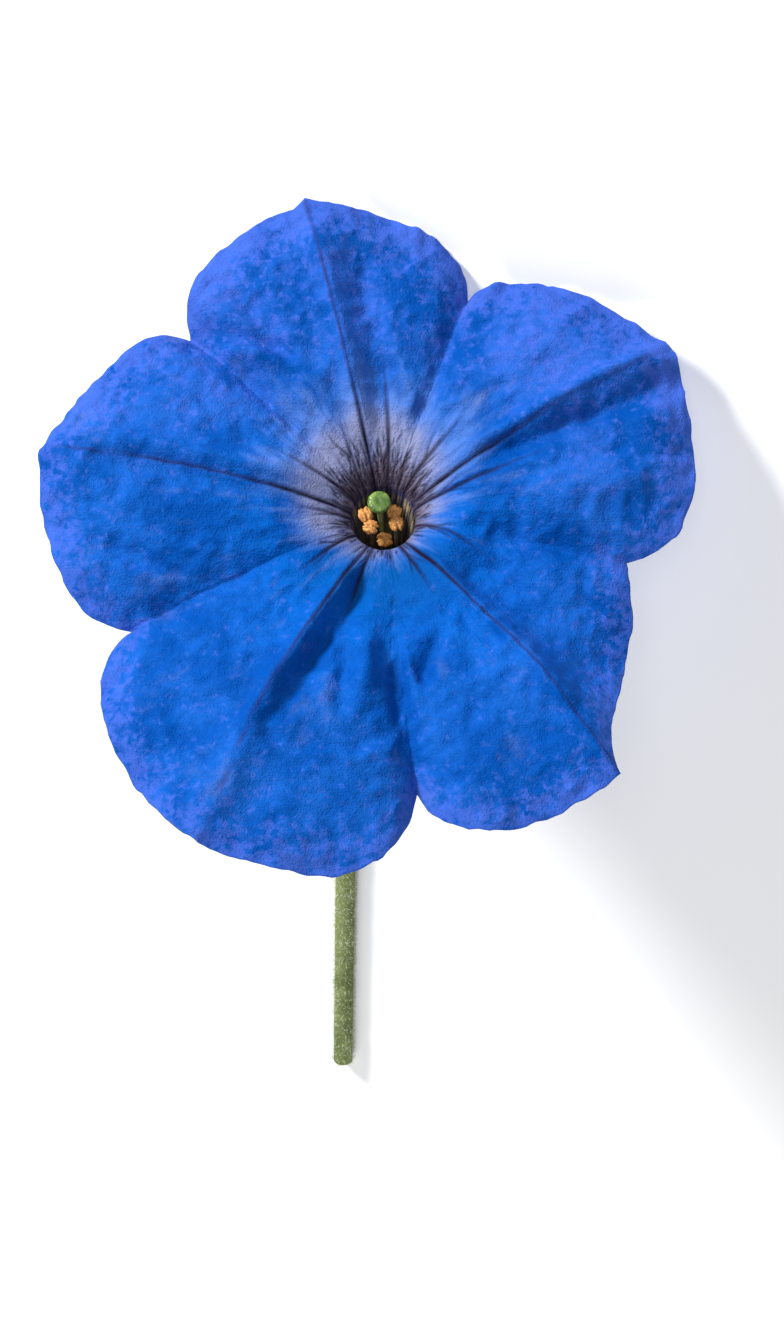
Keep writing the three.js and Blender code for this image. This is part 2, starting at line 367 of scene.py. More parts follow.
class Nodes:
    """A node tree with short ways to add and join nodes."""

    def __init__(self, tree: bpy.types.NodeTree) -> None:
        """Takes the tree to build in."""
        self.tree = tree

    def add(self, kind: str, settings: dict | None = None, **inputs: object) -> bpy.types.Node:
        """Adds a node.

        Args:
            kind: The node's type name.
            settings: Properties of the node.
            **inputs: Values or sockets by input name, with _ for a space.

        Returns:
            The new node.
        """
        node = self.tree.nodes.new(kind)
        for key, value in (settings or {}).items():
            setattr(node, key, value)
        for key, value in inputs.items():
            self.put(node.inputs[key.replace("_", " ")], value)
        return node

    def put(self, socket: bpy.types.NodeSocket, value: object) -> None:
        """Joins a socket to an input, or sets its value."""
        if isinstance(value, bpy.types.NodeSocket):
            self.tree.links.new(value, socket)
        elif value is not None:
            socket.default_value = value

    def math(self, operation: str, a: object, b: object = None, c: object = None) -> object:
        """Adds a Math node and returns its result."""
        node = self.add("ShaderNodeMath", {"operation": operation})
        for socket, value in zip(node.inputs, (a, b, c)):
            self.put(socket, value)
        return node.outputs[0]

    def times(self, a: object, b: object) -> object:
        """Multiplies two values."""
        return self.math("MULTIPLY", a, b)

    def scaled(self, value: object, by: object, plus: object) -> object:
        """A value times one number, plus another."""
        return self.math("MULTIPLY_ADD", value, by, plus)

    def swing(self, value: object) -> object:
        """How far a value of 0 to 1 is above one half."""
        return self.math("SUBTRACT", value, 0.5)

    def clamp(self, value: object) -> object:
        """Keeps a value between 0 and 1."""
        return self.add("ShaderNodeClamp", Value=value).outputs[0]

    def fade(self, value: object, low: float, high: float) -> object:
        """Maps a value from low..high to 0..1 with soft ends and returns the result."""
        node = self.add("ShaderNodeMapRange", {"interpolation_type": "SMOOTHSTEP"})
        self.put(node.inputs["Value"], value)
        self.put(node.inputs["From Min"], low)
        self.put(node.inputs["From Max"], high)
        return node.outputs["Result"]

    def mix(self, factor: object, a: object, b: object, blend: str = "MIX") -> object:
        """Mixes two colours and returns the result."""
        node = self.add("ShaderNodeMix", {"data_type": "RGBA", "blend_type": blend})
        self.put(node.inputs["Factor"], factor)
        self.put(node.inputs[6], a)
        self.put(node.inputs[7], b)
        return node.outputs[2]

    def attribute(self, name: str, output: str = "Fac") -> object:
        """Reads a mesh attribute."""
        return self.add("ShaderNodeAttribute", {"attribute_name": name}).outputs[output]

    def noise(self, vector: object, size: float, detail: float = 2.0, rough: float = 0.5) -> object:
        """Noise with blotches of a size in metres; returns its value."""
        node = self.add("ShaderNodeTexNoise")
        self.put(node.inputs["Vector"], vector)
        self.put(node.inputs["Scale"], 1.0 / size)
        self.put(node.inputs["Detail"], detail)
        self.put(node.inputs["Roughness"], rough)
        return node.outputs["Fac"]


def srgb(red: int, green: int, blue: int) -> tuple[float, float, float, float]:
    """A linear colour from sRGB values of 0 to 255."""
    def line(c: float) -> float:
        """One channel made linear."""
        return c / 12.92 if c <= 0.04045 else ((c + 0.055) / 1.055) ** 2.4

    return (line(red / 255), line(green / 255), line(blue / 255), 1.0)


def make_group(name: str, inputs: dict, outputs: dict) -> tuple[bpy.types.NodeTree, Nodes]:
    """Starts a shader node group.

    Args:
        name: The group's name.
        inputs: Socket type by name.
        outputs: Socket type by name.

    Returns:
        The group and its builder.
    """
    group = bpy.data.node_groups.new(name, "ShaderNodeTree")
    for title, kind in inputs.items():
        group.interface.new_socket(title, in_out="INPUT", socket_type=kind)
    for title, kind in outputs.items():
        group.interface.new_socket(title, in_out="OUTPUT", socket_type=kind)
    return group, Nodes(group)


class TissueGroups:
    """Effects that several finishes share, each a shader node group."""

    def __init__(self) -> None:
        """Builds the groups once."""
        self.cells = self._cells()
        self.mottle = self._mottle()

    def _cells(self) -> bpy.types.NodeTree:
        """Rounded surface cells: a light value on each cell's crown and a height."""
        group, n = make_group(
            "surface_cells",
            {"Vector": "NodeSocketVector", "Scale": "NodeSocketFloat", "Wander": "NodeSocketFloat"},
            {"Crown": "NodeSocketFloat", "Height": "NodeSocketFloat", "Tone": "NodeSocketFloat"},
        )
        source = n.add("NodeGroupInput")
        target = n.add("NodeGroupOutput")
        drift = n.add("ShaderNodeTexNoise", Vector=source.outputs["Vector"], Detail=1.0)
        n.put(drift.inputs["Scale"], n.times(source.outputs["Scale"], 0.35))
        shift = n.add("ShaderNodeVectorMath", {"operation": "SCALE"})
        n.put(shift.inputs[0], drift.outputs["Color"])
        n.put(shift.inputs["Scale"], source.outputs["Wander"])
        moved = n.add("ShaderNodeVectorMath", {"operation": "ADD"})
        n.put(moved.inputs[0], source.outputs["Vector"])
        n.put(moved.inputs[1], shift.outputs[0])
        cell = n.add("ShaderNodeTexVoronoi", Vector=moved.outputs[0], Scale=source.outputs["Scale"])
        crown = n.fade(cell.outputs["Distance"], 0.55, 0.05)
        tone = n.add("ShaderNodeSeparateColor", Color=cell.outputs["Color"])
        n.put(target.inputs["Crown"], crown)
        n.put(target.inputs["Height"], n.math("POWER", crown, 0.7))
        n.put(target.inputs["Tone"], tone.outputs[0])
        return group

    def _mottle(self) -> bpy.types.NodeTree:
        """Broad and middle-sized blotches of pigment, from 0 to 1 about one half."""
        group, n = make_group(
            "tissue_mottle",
            {"Vector": "NodeSocketVector", "Scale": "NodeSocketFloat", "Contrast": "NodeSocketFloat"},
            {"Value": "NodeSocketFloat"},
        )
        source = n.add("NodeGroupInput")
        target = n.add("NodeGroupOutput")
        blotches = n.add("ShaderNodeTexNoise", Vector=source.outputs["Vector"], Detail=5.0)
        n.put(blotches.inputs["Scale"], source.outputs["Scale"])
        n.put(blotches.inputs["Roughness"], 0.62)
        swing = n.swing(blotches.outputs["Fac"])
        n.put(target.inputs["Value"], n.clamp(n.scaled(swing, source.outputs["Contrast"], 0.5)))
        return group

    def place(self, n: Nodes, group: bpy.types.NodeTree, **inputs: object) -> bpy.types.Node:
        """Places one of the groups in a material's tree.

        Args:
            n: The material's builder.
            group: The group.
            **inputs: Its inputs by name.

        Returns:
            The group node.
        """
        return n.add("ShaderNodeGroup", {"node_tree": group}, **inputs)


class Finish:
    """A named material with a Principled shader, and what every finish here needs."""

    def __init__(self, name: str, groups: TissueGroups) -> None:
        """Starts the material.

        Args:
            name: The material's name.
            groups: The shared effects.
        """
        self.material = bpy.data.materials.new(name)
        self.material.use_nodes = True
        self.groups = groups
        self.n = Nodes(self.material.node_tree)
        self.material.node_tree.nodes.clear()
        self.shader = self.n.add("ShaderNodeBsdfPrincipled")
        output = self.n.add("ShaderNodeOutputMaterial")
        self.n.put(output.inputs["Surface"], self.shader.outputs[0])
        self.place = self.n.add("ShaderNodeTexCoord").outputs["Object"]

    def set(self, **values: object) -> None:
        """Sets inputs of the shader by name, with _ for a space."""
        for key, value in values.items():
            self.n.put(self.shader.inputs[key.replace("_", " ")], value)

    def cells(self, size: float, wander: float, vector: object = None) -> bpy.types.Node:
        """Places the surface cells, with a cell size and a wander in millimetres."""
        return self.groups.place(
            self.n,
            self.groups.cells,
            Vector=vector or self.place,
            Scale=1.0 / (size * MM),
            Wander=wander * MM,
        )

    def mottle(self, size: float, contrast: float, vector: object = None) -> object:
        """Places the pigment blotches of a size in millimetres and returns their value."""
        node = self.groups.place(
            self.n,
            self.groups.mottle,
            Vector=vector or self.place,
            Scale=1.0 / (size * MM),
            Contrast=contrast,
        )
        return node.outputs["Value"]

    def bump(self, height: object, depth: float, strength: float = 1.0, under: object = None) -> object:
        """Adds a Bump node.

        Args:
            height: Height socket, 0 to 1.
            depth: What a height of 1 stands for, in millimetres.
            strength: Strength of the bump.
            under: Normal that this one is laid over.

        Returns:
            The normal.
        """
        node = self.n.add("ShaderNodeBump", Height=height, Distance=depth * MM, Strength=strength)
        if under is not None:
            self.n.put(node.inputs["Normal"], under)
        return node.outputs["Normal"]


# ---------------------------------------------------------------- finishes


@dataclass(frozen=True)
class PetalFace:
    """Velvety face of the corolla: blue, violet mosaic with painted sheen on the margins and the upper side,
    painted glints, painted shade below the mouth, pale halo, dark throat, painted light down the tube, and
    veins.
    """

    blue: tuple = srgb(0, 84, 172)
    deep: tuple = srgb(0, 69, 152)
    # violet of the random mosaic, also laid on as a painted sheen at the margins and on the upper side of the
    # face
    violet_and_sheen: tuple = srgb(64, 93, 188)
    # pale blue of the painted glints
    painted_glint: tuple = srgb(60, 120, 198)
    halo: tuple = srgb(130, 134, 168)
    far_halo: tuple = srgb(80, 116, 188)
    throat: tuple = srgb(106, 96, 110)
    # olive-yellow of the tube's inside, painted much paler as painted light that does not reach down the tube
    inside: tuple = srgb(196, 178, 108)
    # dark teal of the painted shade below the mouth
    painted_shade: tuple = srgb(0, 74, 134)
    vein: tuple = srgb(26, 14, 26)
    far_vein: tuple = srgb(34, 40, 92)
    papilla: float = 0.26
    roughness: float = 0.6

    def build(self, groups: TissueGroups) -> bpy.types.Material:
        """Builds the material.

        Args:
            groups: The shared effects.

        Returns:
            The material.
        """
        f = Finish("petal_face", groups)
        n = f.n
        grain = n.attribute("grain", "Vector")
        mottle = f.mottle(7.0, 2.4)
        blotch = f.mottle(1.2, 1.8)
        streak = f.mottle(1.0, 2.2, grain)
        cells = f.cells(self.papilla, 0.12)
        speck = f.cells(self.papilla * 2.3, 0.2)
        colour = n.mix(n.fade(mottle, 0.2, 0.8), self.deep, self.blue)
        # painted sheen: violet on the band along the margin and on the upper side, mixed with random violet
        # blotches
        patch = n.scaled(n.attribute("margin_sheen"), 0.6, n.times(n.attribute("upper_sheen"), 0.3))
        patch = n.scaled(n.swing(blotch), 1.1, patch)
        patch = n.scaled(n.swing(speck.outputs["Tone"]), 0.5, patch)
        patch = n.scaled(n.swing(mottle), 0.4, patch)
        # painted highlight: a violet veil on the upper side of the face, the side the light falls on
        sheen_veil = n.times(n.attribute("upper_sheen"), n.fade(mottle, 0.2, 0.8))
        colour = n.mix(n.times(sheen_veil, 0.35), colour, self.violet_and_sheen)
        colour = n.mix(n.times(n.fade(patch, 0.2, 0.85), 0.7), colour, self.violet_and_sheen)
        # painted highlight: pale glints on the crowns of some surface cells
        glint = n.times(speck.outputs["Crown"], n.fade(speck.outputs["Tone"], 0.45, 1.0))
        glint = n.times(glint, n.fade(blotch, 0.4, 0.75))
        colour = n.mix(n.times(glint, 0.16), colour, self.painted_glint)
        # painted shade: dark teal on the lower lobes below the mouth
        colour = n.mix(n.attribute("painted_shade"), colour, self.painted_shade)
        swing = n.swing(f.mottle(2.4, 1.9, grain))
        swing = n.scaled(n.swing(streak), 0.3, swing)
        haze = n.times(n.fade(n.scaled(swing, 1.4, n.attribute("haze")), 0.2, 1.2), 0.6)
        colour = n.mix(haze, colour, self.far_halo)
        halo = n.scaled(swing, 0.8, n.attribute("halo"))
        halo = n.times(n.fade(halo, 0.2, 1.05), n.fade(n.attribute("halo"), 0.0, 0.3))
        pale = n.mix(n.fade(n.attribute("halo"), 0.4, 1.0), self.far_halo, self.halo)
        colour = n.mix(n.times(halo, 0.92), colour, pale)
        gloom = n.scaled(swing, 0.7, n.attribute("throat"))
        colour = n.mix(n.fade(gloom, 0.1, 1.0), colour, self.throat)
        # painted light: the inside of the tube made pale as if lit
        colour = n.mix(n.attribute("inside"), colour, self.inside)
        vein = n.times(n.attribute("vein"), n.scaled(streak, 0.5, 0.72))
        vein = n.clamp(vein)
        ink = n.mix(n.attribute("far"), self.vein, self.far_vein)
        colour = n.mix(vein, colour, ink)
        f.set(
            Base_Color=colour,
            Roughness=n.scaled(blotch, 0.16, self.roughness - 0.08),
            Specular_IOR_Level=0.03,
            Sheen_Weight=0.14,
            Sheen_Roughness=0.45,
            Sheen_Tint=(0.05, 0.16, 1.0, 1.0),
        )
        wrinkle = n.noise(grain, 1.3 * MM, 4.0, 0.6)
        normal = f.bump(wrinkle, 0.25)
        normal = f.bump(n.noise(f.place, 1.5 * MM, 4.0, 0.62), 0.3, under=normal)
        normal = f.bump(cells.outputs["Height"], 0.05, under=normal)
        f.set(Normal=normal)
        return f.material


@dataclass(frozen=True)
class PetalBack:
    """Paler, matt back of the corolla and outside of its tube."""

    pale: tuple = srgb(104, 142, 222)
    blue: tuple = srgb(60, 108, 208)
    tube: tuple = srgb(150, 150, 170)
    foot: tuple = srgb(168, 178, 130)
    vein: tuple = srgb(70, 66, 130)
    roughness: float = 0.72

    def build(self, groups: TissueGroups) -> bpy.types.Material:
        """Builds the material.

        Args:
            groups: The shared effects.

        Returns:
            The material.
        """
        f = Finish("petal_back", groups)
        n = f.n
        grain = n.attribute("grain", "Vector")
        mottle = f.mottle(5.0, 1.5)
        streak = f.mottle(1.2, 2.0, grain)
        cells = f.cells(0.3, 0.15)
        colour = n.mix(n.fade(mottle, 0.3, 0.8), self.pale, self.blue)
        colour = n.mix(n.times(n.attribute("tube"), 0.85), colour, self.tube)
        colour = n.mix(n.attribute("foot"), colour, self.foot)
        vein = n.times(n.attribute("vein"), n.scaled(streak, 0.6, 0.25))
        vein = n.clamp(vein)
        colour = n.mix(vein, colour, self.vein)
        colour = n.mix(n.times(cells.outputs["Tone"], 0.12), colour, srgb(180, 200, 240))
        f.set(
            Base_Color=colour,
            Roughness=n.scaled(streak, 0.14, self.roughness - 0.07),
            Specular_IOR_Level=0.25,
            Sheen_Weight=0.2,
            Sheen_Roughness=0.5,
        )
        normal = f.bump(n.noise(grain, 1.1 * MM, 3.0, 0.6), 0.18)
        f.set(Normal=f.bump(cells.outputs["Height"], 0.03, under=normal))
        return f.material


@dataclass(frozen=True)
class GreenTissue:
    """Green plant tissue: mealy on the stalk, leafy on the sepals, smooth inside."""

    name: str
    light: tuple
    dark: tuple
    speck: tuple
    speckle: float = 0.5
    roughness: float = 0.7
    blotch: float = 2.5
    cell: float = 0.22
    relief: float = 0.05
    coat: float = 0.0
    specular: float = 0.35

    def build(self, groups: TissueGroups) -> bpy.types.Material:
        """Builds the material.

        Args:
            groups: The shared effects.

        Returns:
            The material.
        """
        f = Finish(self.name, groups)
        n = f.n
        mottle = f.mottle(self.blotch, 2.6)
        fine = f.mottle(self.blotch * 0.22, 2.6)
        cells = f.cells(self.cell, 0.1)
        colour = n.mix(n.fade(mottle, 0.25, 0.75), self.dark, self.light)
        colour = n.mix(n.attribute("core"), colour, self.dark)
        meal = n.times(cells.outputs["Crown"], n.fade(cells.outputs["Tone"], 0.35, 0.9))
        meal = n.times(meal, n.fade(fine, 0.35, 0.7))
        colour = n.mix(n.times(meal, self.speckle), colour, self.speck)
        f.set(
            Base_Color=colour,
            Roughness=n.scaled(fine, 0.18, self.roughness - 0.09),
            Specular_IOR_Level=self.specular,
            Coat_Weight=self.coat,
            Coat_Roughness=0.12,
        )
        normal = f.bump(n.noise(f.place, self.blotch * 0.4 * MM, 4.0, 0.6), self.relief * 2.0)
        f.set(Normal=f.bump(cells.outputs["Height"], self.relief, under=normal))
        return f.material


@dataclass(frozen=True)
class PollenDust:
    """Granular orange-tan coat of the anthers."""

    light: tuple = srgb(238, 176, 104)
    dark: tuple = srgb(162, 98, 44)
    grain: float = 0.09
    roughness: float = 0.75

    def build(self, groups: TissueGroups) -> bpy.types.Material:
        """Builds the material.

        Args:
            groups: The shared effects.

        Returns:
            The material.
        """
        f = Finish("anther_pollen", groups)
        n = f.n
        cells = f.cells(self.grain, 0.03)
        mottle = f.mottle(0.5, 2.4)
        tone = n.scaled(cells.outputs["Tone"], 0.5, n.times(mottle, 0.6))
        colour = n.mix(n.fade(tone, 0.15, 0.85), self.dark, self.light)
        f.set(
            Base_Color=colour,
            Roughness=n.scaled(mottle, 0.2, self.roughness - 0.1),
            Specular_IOR_Level=0.3,
        )
        f.set(Normal=f.bump(cells.outputs["Height"], 0.04))
        return f.material


@dataclass(frozen=True)
class StudioFloor:
    """Plain pale floor."""

    colour: tuple = (0.86, 0.86, 0.865, 1.0)
    roughness: float = 0.75

    def build(self, groups: TissueGroups) -> bpy.types.Material:
        """Builds the material.

        Args:
            groups: The shared effects.

        Returns:
            The material.
        """
        f = Finish("studio_floor", groups)
        f.set(Base_Color=self.colour, Roughness=self.roughness, Specular_IOR_Level=0.1)
        return f.material


class Tissue(Enum):
    """The green and pale tissues of the flower."""

    STALK = GreenTissue(
        "stalk_skin", srgb(118, 130, 76), srgb(88, 102, 52), srgb(176, 178, 148),
        speckle=0.8, roughness=0.74, blotch=5.5, cell=0.24, relief=0.08,
    )
    HAIR = GreenTissue(
        "gland_hairs", srgb(206, 212, 184), srgb(170, 178, 136), srgb(236, 240, 226),
        speckle=0.3, roughness=0.45, blotch=3.0, cell=0.3, relief=0.01,
    )
    CUT = GreenTissue(
        "cut_pith", srgb(196, 206, 160), srgb(150, 166, 100), srgb(226, 232, 204),
        speckle=0.6, roughness=0.4, blotch=0.9, cell=0.16, relief=0.05, coat=0.2,
    )
    SEPAL = GreenTissue(
        "sepal_leaf", srgb(118, 142, 66), srgb(78, 104, 40), srgb(176, 192, 140),
        speckle=0.45, roughness=0.66, blotch=2.6, cell=0.26, relief=0.06,
    )
    PISTIL = GreenTissue(
        "pistil_skin", srgb(176, 190, 124), srgb(138, 158, 84), srgb(214, 222, 180),
        speckle=0.3, roughness=0.5, blotch=1.4, cell=0.16, relief=0.02,
    )
    STIGMA = GreenTissue(
        "stigma_wet", srgb(118, 148, 56), srgb(58, 92, 24), srgb(184, 198, 124),
        speckle=0.5, roughness=0.4, blotch=0.9, cell=0.12, relief=0.03, coat=0.3, specular=0.4,
    )
    FILAMENT = GreenTissue(
        "filament_skin", srgb(150, 140, 132), srgb(104, 92, 96), srgb(196, 190, 186),
        speckle=0.3, roughness=0.5, blotch=1.6, cell=0.2, relief=0.02,
    )


class Palette:
    """Builds each finish once and hands it out."""

    def __init__(self) -> None:
        """Builds every material."""
        groups = TissueGroups()
        self.petal_face = PetalFace().build(groups)
        self.petal_back = PetalBack().build(groups)
        self.pollen = PollenDust().build(groups)
        self.floor = StudioFloor().build(groups)
        self.tissue = {kind: kind.value.build(groups) for kind in Tissue}


# ---------------------------------------------------------------- corolla


@dataclass(frozen=True)
class HalfLobe:
    """Margin and folds of one half of a lobe, between its rib and a notch."""

    cusp_reach: float
    cusp_tilt: float
    notch_reach: float
    notch_lean: float
    crest: float
    puff: float
    nod: float


@dataclass(frozen=True)
class Pleat:
    """A soft fold between two places of the face, ridge or hollow by its height's sign."""

    start: tuple
    stop: tuple
    height: float
    width: float


@dataclass
class Vein:
    """One vein: its bearing at each distance from the axis, its width and strength."""

    reach: Array
    bearing: Array
    width: Array
    strength: Array


@dataclass
class Corolla:
    """The trumpet: a narrow tube that opens into five fused lobes.

    ribs and notches hold bearing and distance, tube radius and height, and limb the share of
    the way to the margin and the height there. main_veins holds the bearing at each vein's
    foot and tip, and how far out it ends. wrinkles holds the sizes of three noises.
    """

    pose: Pose
    palette: Palette
    ribs: tuple = ((27.5, 38.2), (104, 38.0), (171.5, 40.3), (243.2, 46.2), (309.2, 42.4))
    notches: tuple = ((69, 27.5), (137, 31.0), (207, 32.4), (276.5, 34.2), (347, 28.7))
    halves: tuple = (
        (HalfLobe(7, 14, 12, 20, 4.0, 1.1, 1.0), HalfLobe(11, 14, 6, 10, 3.6, 0.8, 0.5)),
        (HalfLobe(8, 14, 8, 15, 3.4, 0.7, 0.6), HalfLobe(10, 10, 8, 34, 3.4, 1.3, 0.6)),
        (HalfLobe(8, 26, 7, 25, 3.8, 0.7, 0.8), HalfLobe(10, 9, 8, 25, 3.8, 1.0, 0.8)),
        (HalfLobe(12, 8, 9.5, 10, 4.2, 0.8, 0.6), HalfLobe(11, 8, 14, 15, 4.2, 1.2, 0.8)),
        (HalfLobe(12, 1, 8, 15, 3.8, 1.0, 0.8), HalfLobe(8, 75, 11, 61, 4.4, 0.5, 3.4)),
    )
    tube: tuple = (
        (2.0, -33), (2.0, -29), (2.15, -24), (2.4, -18), (2.75, -12), (3.1, -7), (3.45, -3), (3.8, 0),
    )
    limb: tuple = (
        (0.015, 1.0), (0.04, 2.0), (0.08, 3.1), (0.14, 4.2), (0.22, 5.2), (0.32, 6.0), (0.43, 6.5),
        (0.54, 6.9), (0.65, 7.1), (0.75, 7.1), (0.84, 6.9), (0.91, 6.5), (0.96, 6.1), (1.0, 5.6),
    )
    pleats: tuple = (
        Pleat((-2.2, -4.8), (-15.2, -26.5), 0.9, 1.1),
        Pleat((-15.0, -25.5), (-20.5, -38.0), 0.45, 2.2),
        Pleat((-1.6, -7.4), (-11.6, -25.2), -1.3, 1.6),
        Pleat((10.0, -2.0), (30.0, -18.0), -1.2, 5.0),
        Pleat((-4.1, -8.0), (-5.6, -15.1), 0.6, 0.9),
        Pleat((-4.1, -16.3), (-4.9, -25.4), -0.6, 1.0),
        Pleat((-1.8, -14.5), (-2.2, -25.0), 0.9, 1.5),
        Pleat((1.6, -13.0), (4.3, -26.5), 0.7, 0.8),
        Pleat((0.3, -17.0), (2.0, -28.0), -0.6, 0.9),
        Pleat((6.9, -15.0), (4.3, -21.5), -0.9, 1.0),
        Pleat((-3.6, -29.2), (0.4, -28.4), -0.45, 0.8),
        Pleat((-6.0, -31.8), (0.4, -30.4), 0.45, 0.9),
        Pleat((-13.6, -25.4), (-13.0, -29.6), -0.7, 1.0),
        Pleat((4.0, -5.2), (22.0, -25.0), 0.9, 1.3),
        Pleat((8.0, -6.0), (27.0, -22.5), -1.6, 3.2),
        Pleat((5.8, -11.1), (15.3, -17.5), -0.6, 1.6),
        Pleat((9.4, -25.6), (12.0, -24.4), -0.5, 1.4),
        Pleat((14.0, -29.5), (20.0, -33.0), -0.35, 1.2),
        Pleat((9.0, 6.0), (34.5, 19.4), 0.7, 1.0),
        Pleat((11.0, 5.0), (34.0, 14.0), -1.1, 1.3),
        Pleat((24.0, 14.4), (36.0, 17.4), 0.6, 1.1),
        Pleat((16.0, 0.4), (33.0, 3.4), 0.6, 2.2),
        Pleat((-35.0, 5.2), (-11.0, 1.0), -0.7, 1.8),
        Pleat((-37.0, 7.6), (-9.0, 3.4), 0.6, 1.3),
        Pleat((-34.0, -5.0), (-22.0, -9.2), -0.6, 1.0),
        Pleat((-34.0, -7.2), (-21.0, -11.2), 0.5, 1.0),
        Pleat((-30.0, -12.0), (-19.0, -14.0), -0.45, 0.9),
        Pleat((-21.3, 21.2), (-10.2, 18.3), -0.8, 0.9),
        Pleat((-21.0, 19.2), (-10.5, 16.6), 0.7, 0.9),
        Pleat((-18.5, 28.0), (-9.6, 14.5), -0.6, 1.3),
        Pleat((-2.0, 8.0), (-8.2, 34.0), 0.6, 1.3),
        Pleat((0.6, 9.0), (-3.4, 33.0), -0.8, 1.7),
        Pleat((9.0, 18.0), (17.0, 29.0), -0.5, 1.8),
        Pleat((14.0, 14.0), (25.0, 25.0), 0.5, 2.2),
    )
    rib_bends: tuple = (1.5, 0.0, -1.5, -3.0, 1.5)
    main_veins: tuple = (
        (147, 153, 15.0), (182, 180, 11.0), (126, 116, 12.0), (83, 91, 20.0), (77, 77, 9.0),
        (66, 65, 9.5), (53, 48, 15.0), (16, 18, 21.0), (348, 333, 14.0), (298, 299, 13.0),
        (279, 281, 7.5), (252, 252, 16.0), (212, 221, 14.0), (196, 200, 8.0), (136, 131, 9.0),
    )
    fray: float = 0.32
    row_counts: tuple = (8, 14, 44, 80)
    pleat_gain: float = 1.5
    wrinkles: tuple = (6.0, 2.6, 1.15)
    lateral_shares: tuple = (0.15, 0.34, 0.56, 0.8, 0.97)
    dash_count: int = 360
    edge_round: float = 0.12
    rest_give: float = 0.25
    wave_height: float = 0.45
    wave_count: int = 23
    wall: float = 0.5
    rim_wall: float = 0.26
    per_half: int = 44
    seed: int = 11

    # ---- form

    def half(self, index: int, side: int) -> tuple[Array, float, HalfLobe]:
        """Margin of one half lobe.

        Args:
            index: Which lobe.
            side: -1 for the half before its rib, 1 for the half after it.

        Returns:
            Points evenly spaced from cusp to notch, the angle it spans, and its sizes.
        """
        rib_angle, length = self.ribs[index]
        angle, radius = self.notches[index if side > 0 else index - 1]
        shape = self.halves[index][(side + 1) // 2]
        cusp = self._polar(rib_angle, length)
        foot = self._polar(angle, radius)
        handle = cusp + self._polar(rib_angle + side * (90 + shape.cusp_tilt), shape.cusp_reach)
        rise = foot + self._polar(angle - side * shape.notch_lean, shape.notch_reach)
        t = np.linspace(0, 1, MARGIN_SAMPLES)[:, None]
        curve = (
            (1 - t) ** 3 * cusp
            + 3 * (1 - t) ** 2 * t * handle
            + 3 * (1 - t) * t**2 * rise
            + t**3 * foot
        )
        span = abs((angle - rib_angle + 540) % 360 - 180)
        return evenly(curve, self.per_half + 1), span, shape

    @staticmethod
    def _polar(angle: float, radius: float) -> Array:
        """A point in the plane from its bearing and distance."""
        return radius * np.array([math.cos(math.radians(angle)), math.sin(math.radians(angle))])

    def rays(self) -> dict[str, Array]:
        """Bearings of the mesh's columns.

        Returns:
            By name, one entry for each column: bearing, margin distance, share of the way
            from rib to notch, and the half lobe's crest, puff and nod.
        """
        names = ("angle", "radius", "w", "crest", "puff", "nod")
        columns = []
        for index in range(5):
            rib = self.ribs[index][0]
            for side in (-1, 1):
                points, span, shape = self.half(index, side)
                points = points[::-1][:-1] if side < 0 else points[:-1]
                for x, y in points:
                    angle = math.degrees(math.atan2(y, x))
                    offset = (angle - rib + 540) % 360 - 180
                    w = min(1.0, abs(offset) / span)
                    columns.append((rib + offset, math.hypot(x, y), w, shape.crest, shape.puff, shape.nod))
        table = np.array(columns)
        return {name: table[:, i] for i, name in enumerate(names)}

    def stations(self) -> Array:
        """Row places from the tube's foot to the margin, closest together at the mouth."""
        mouth = len(self.tube) - 1
        last = mouth + len(self.limb)
        foot, neck, flare, face = self.row_counts
        return np.concatenate(
            [
                np.linspace(0, mouth - 2, foot, endpoint=False),
                np.linspace(mouth - 2, mouth, neck, endpoint=False),
                np.linspace(mouth, mouth + 4, flare, endpoint=False),
                np.linspace(mouth + 4, last, face),
            ]
        )

    def surface(self, rays: dict[str, Array], rows: Array) -> dict[str, Array]:
        """Face of the corolla.

        Args:
            rays: The columns, as rays() gives them.
            rows: The rows, as stations() gives them.

        Returns:
            By name, rows by columns: points, k the share from mouth to margin, and q the
            distance from the axis on the limb, running below the mouth's down the tube.
        """
        mouth = self.tube[-1][0]
        table = [(r, 0.0, h) for r, h in self.tube] + [(mouth, k, h) for k, h in self.limb]
        radius, k, height = through(np.array(table), rows).T
        k = np.clip(k, 0, 1)[:, None]
        angle = np.radians(rays["angle"])[None, :]
        bearings = np.stack([np.cos(angle[0]), np.sin(angle[0]), 0 * angle[0]], axis=1)
        margin = rays["radius"][:, None] * bearings
        reach = rays["radius"] + self.fray * ripple(margin, 1.7, self.seed + 5)
        rho = np.minimum(radius, mouth)[:, None] + k * (reach[None, :] - mouth)
        w = rays["w"][None, :]
        grow = k * (2 - k) * np.minimum(1, k * 4)
        fold = rays["crest"] * ((1 - w) ** 1.5 - 0.45)
        swell = rays["puff"] * np.sin(math.pi * w**1.4)
        gutter = 0.9 * np.exp(-(((1 - w) / 0.12) ** 2))
        wave = self.wave_height * np.sin(angle * self.wave_count) * k**6
        fall = rays["nod"] * np.sin(math.pi * np.minimum(1, w * 1.15)) * k**4
        z = height[:, None] + grow * (fold + swell - gutter) + wave - fall
        points = np.stack([rho * np.cos(angle), rho * np.sin(angle), z], axis=2)
        q = np.where(k > 0, rho, mouth + np.minimum(height, 0)[:, None])
        return {"points": points, "k": k + 0 * rho, "q": q, "rho": rho, "angle": rays["angle"] + 0 * rho}

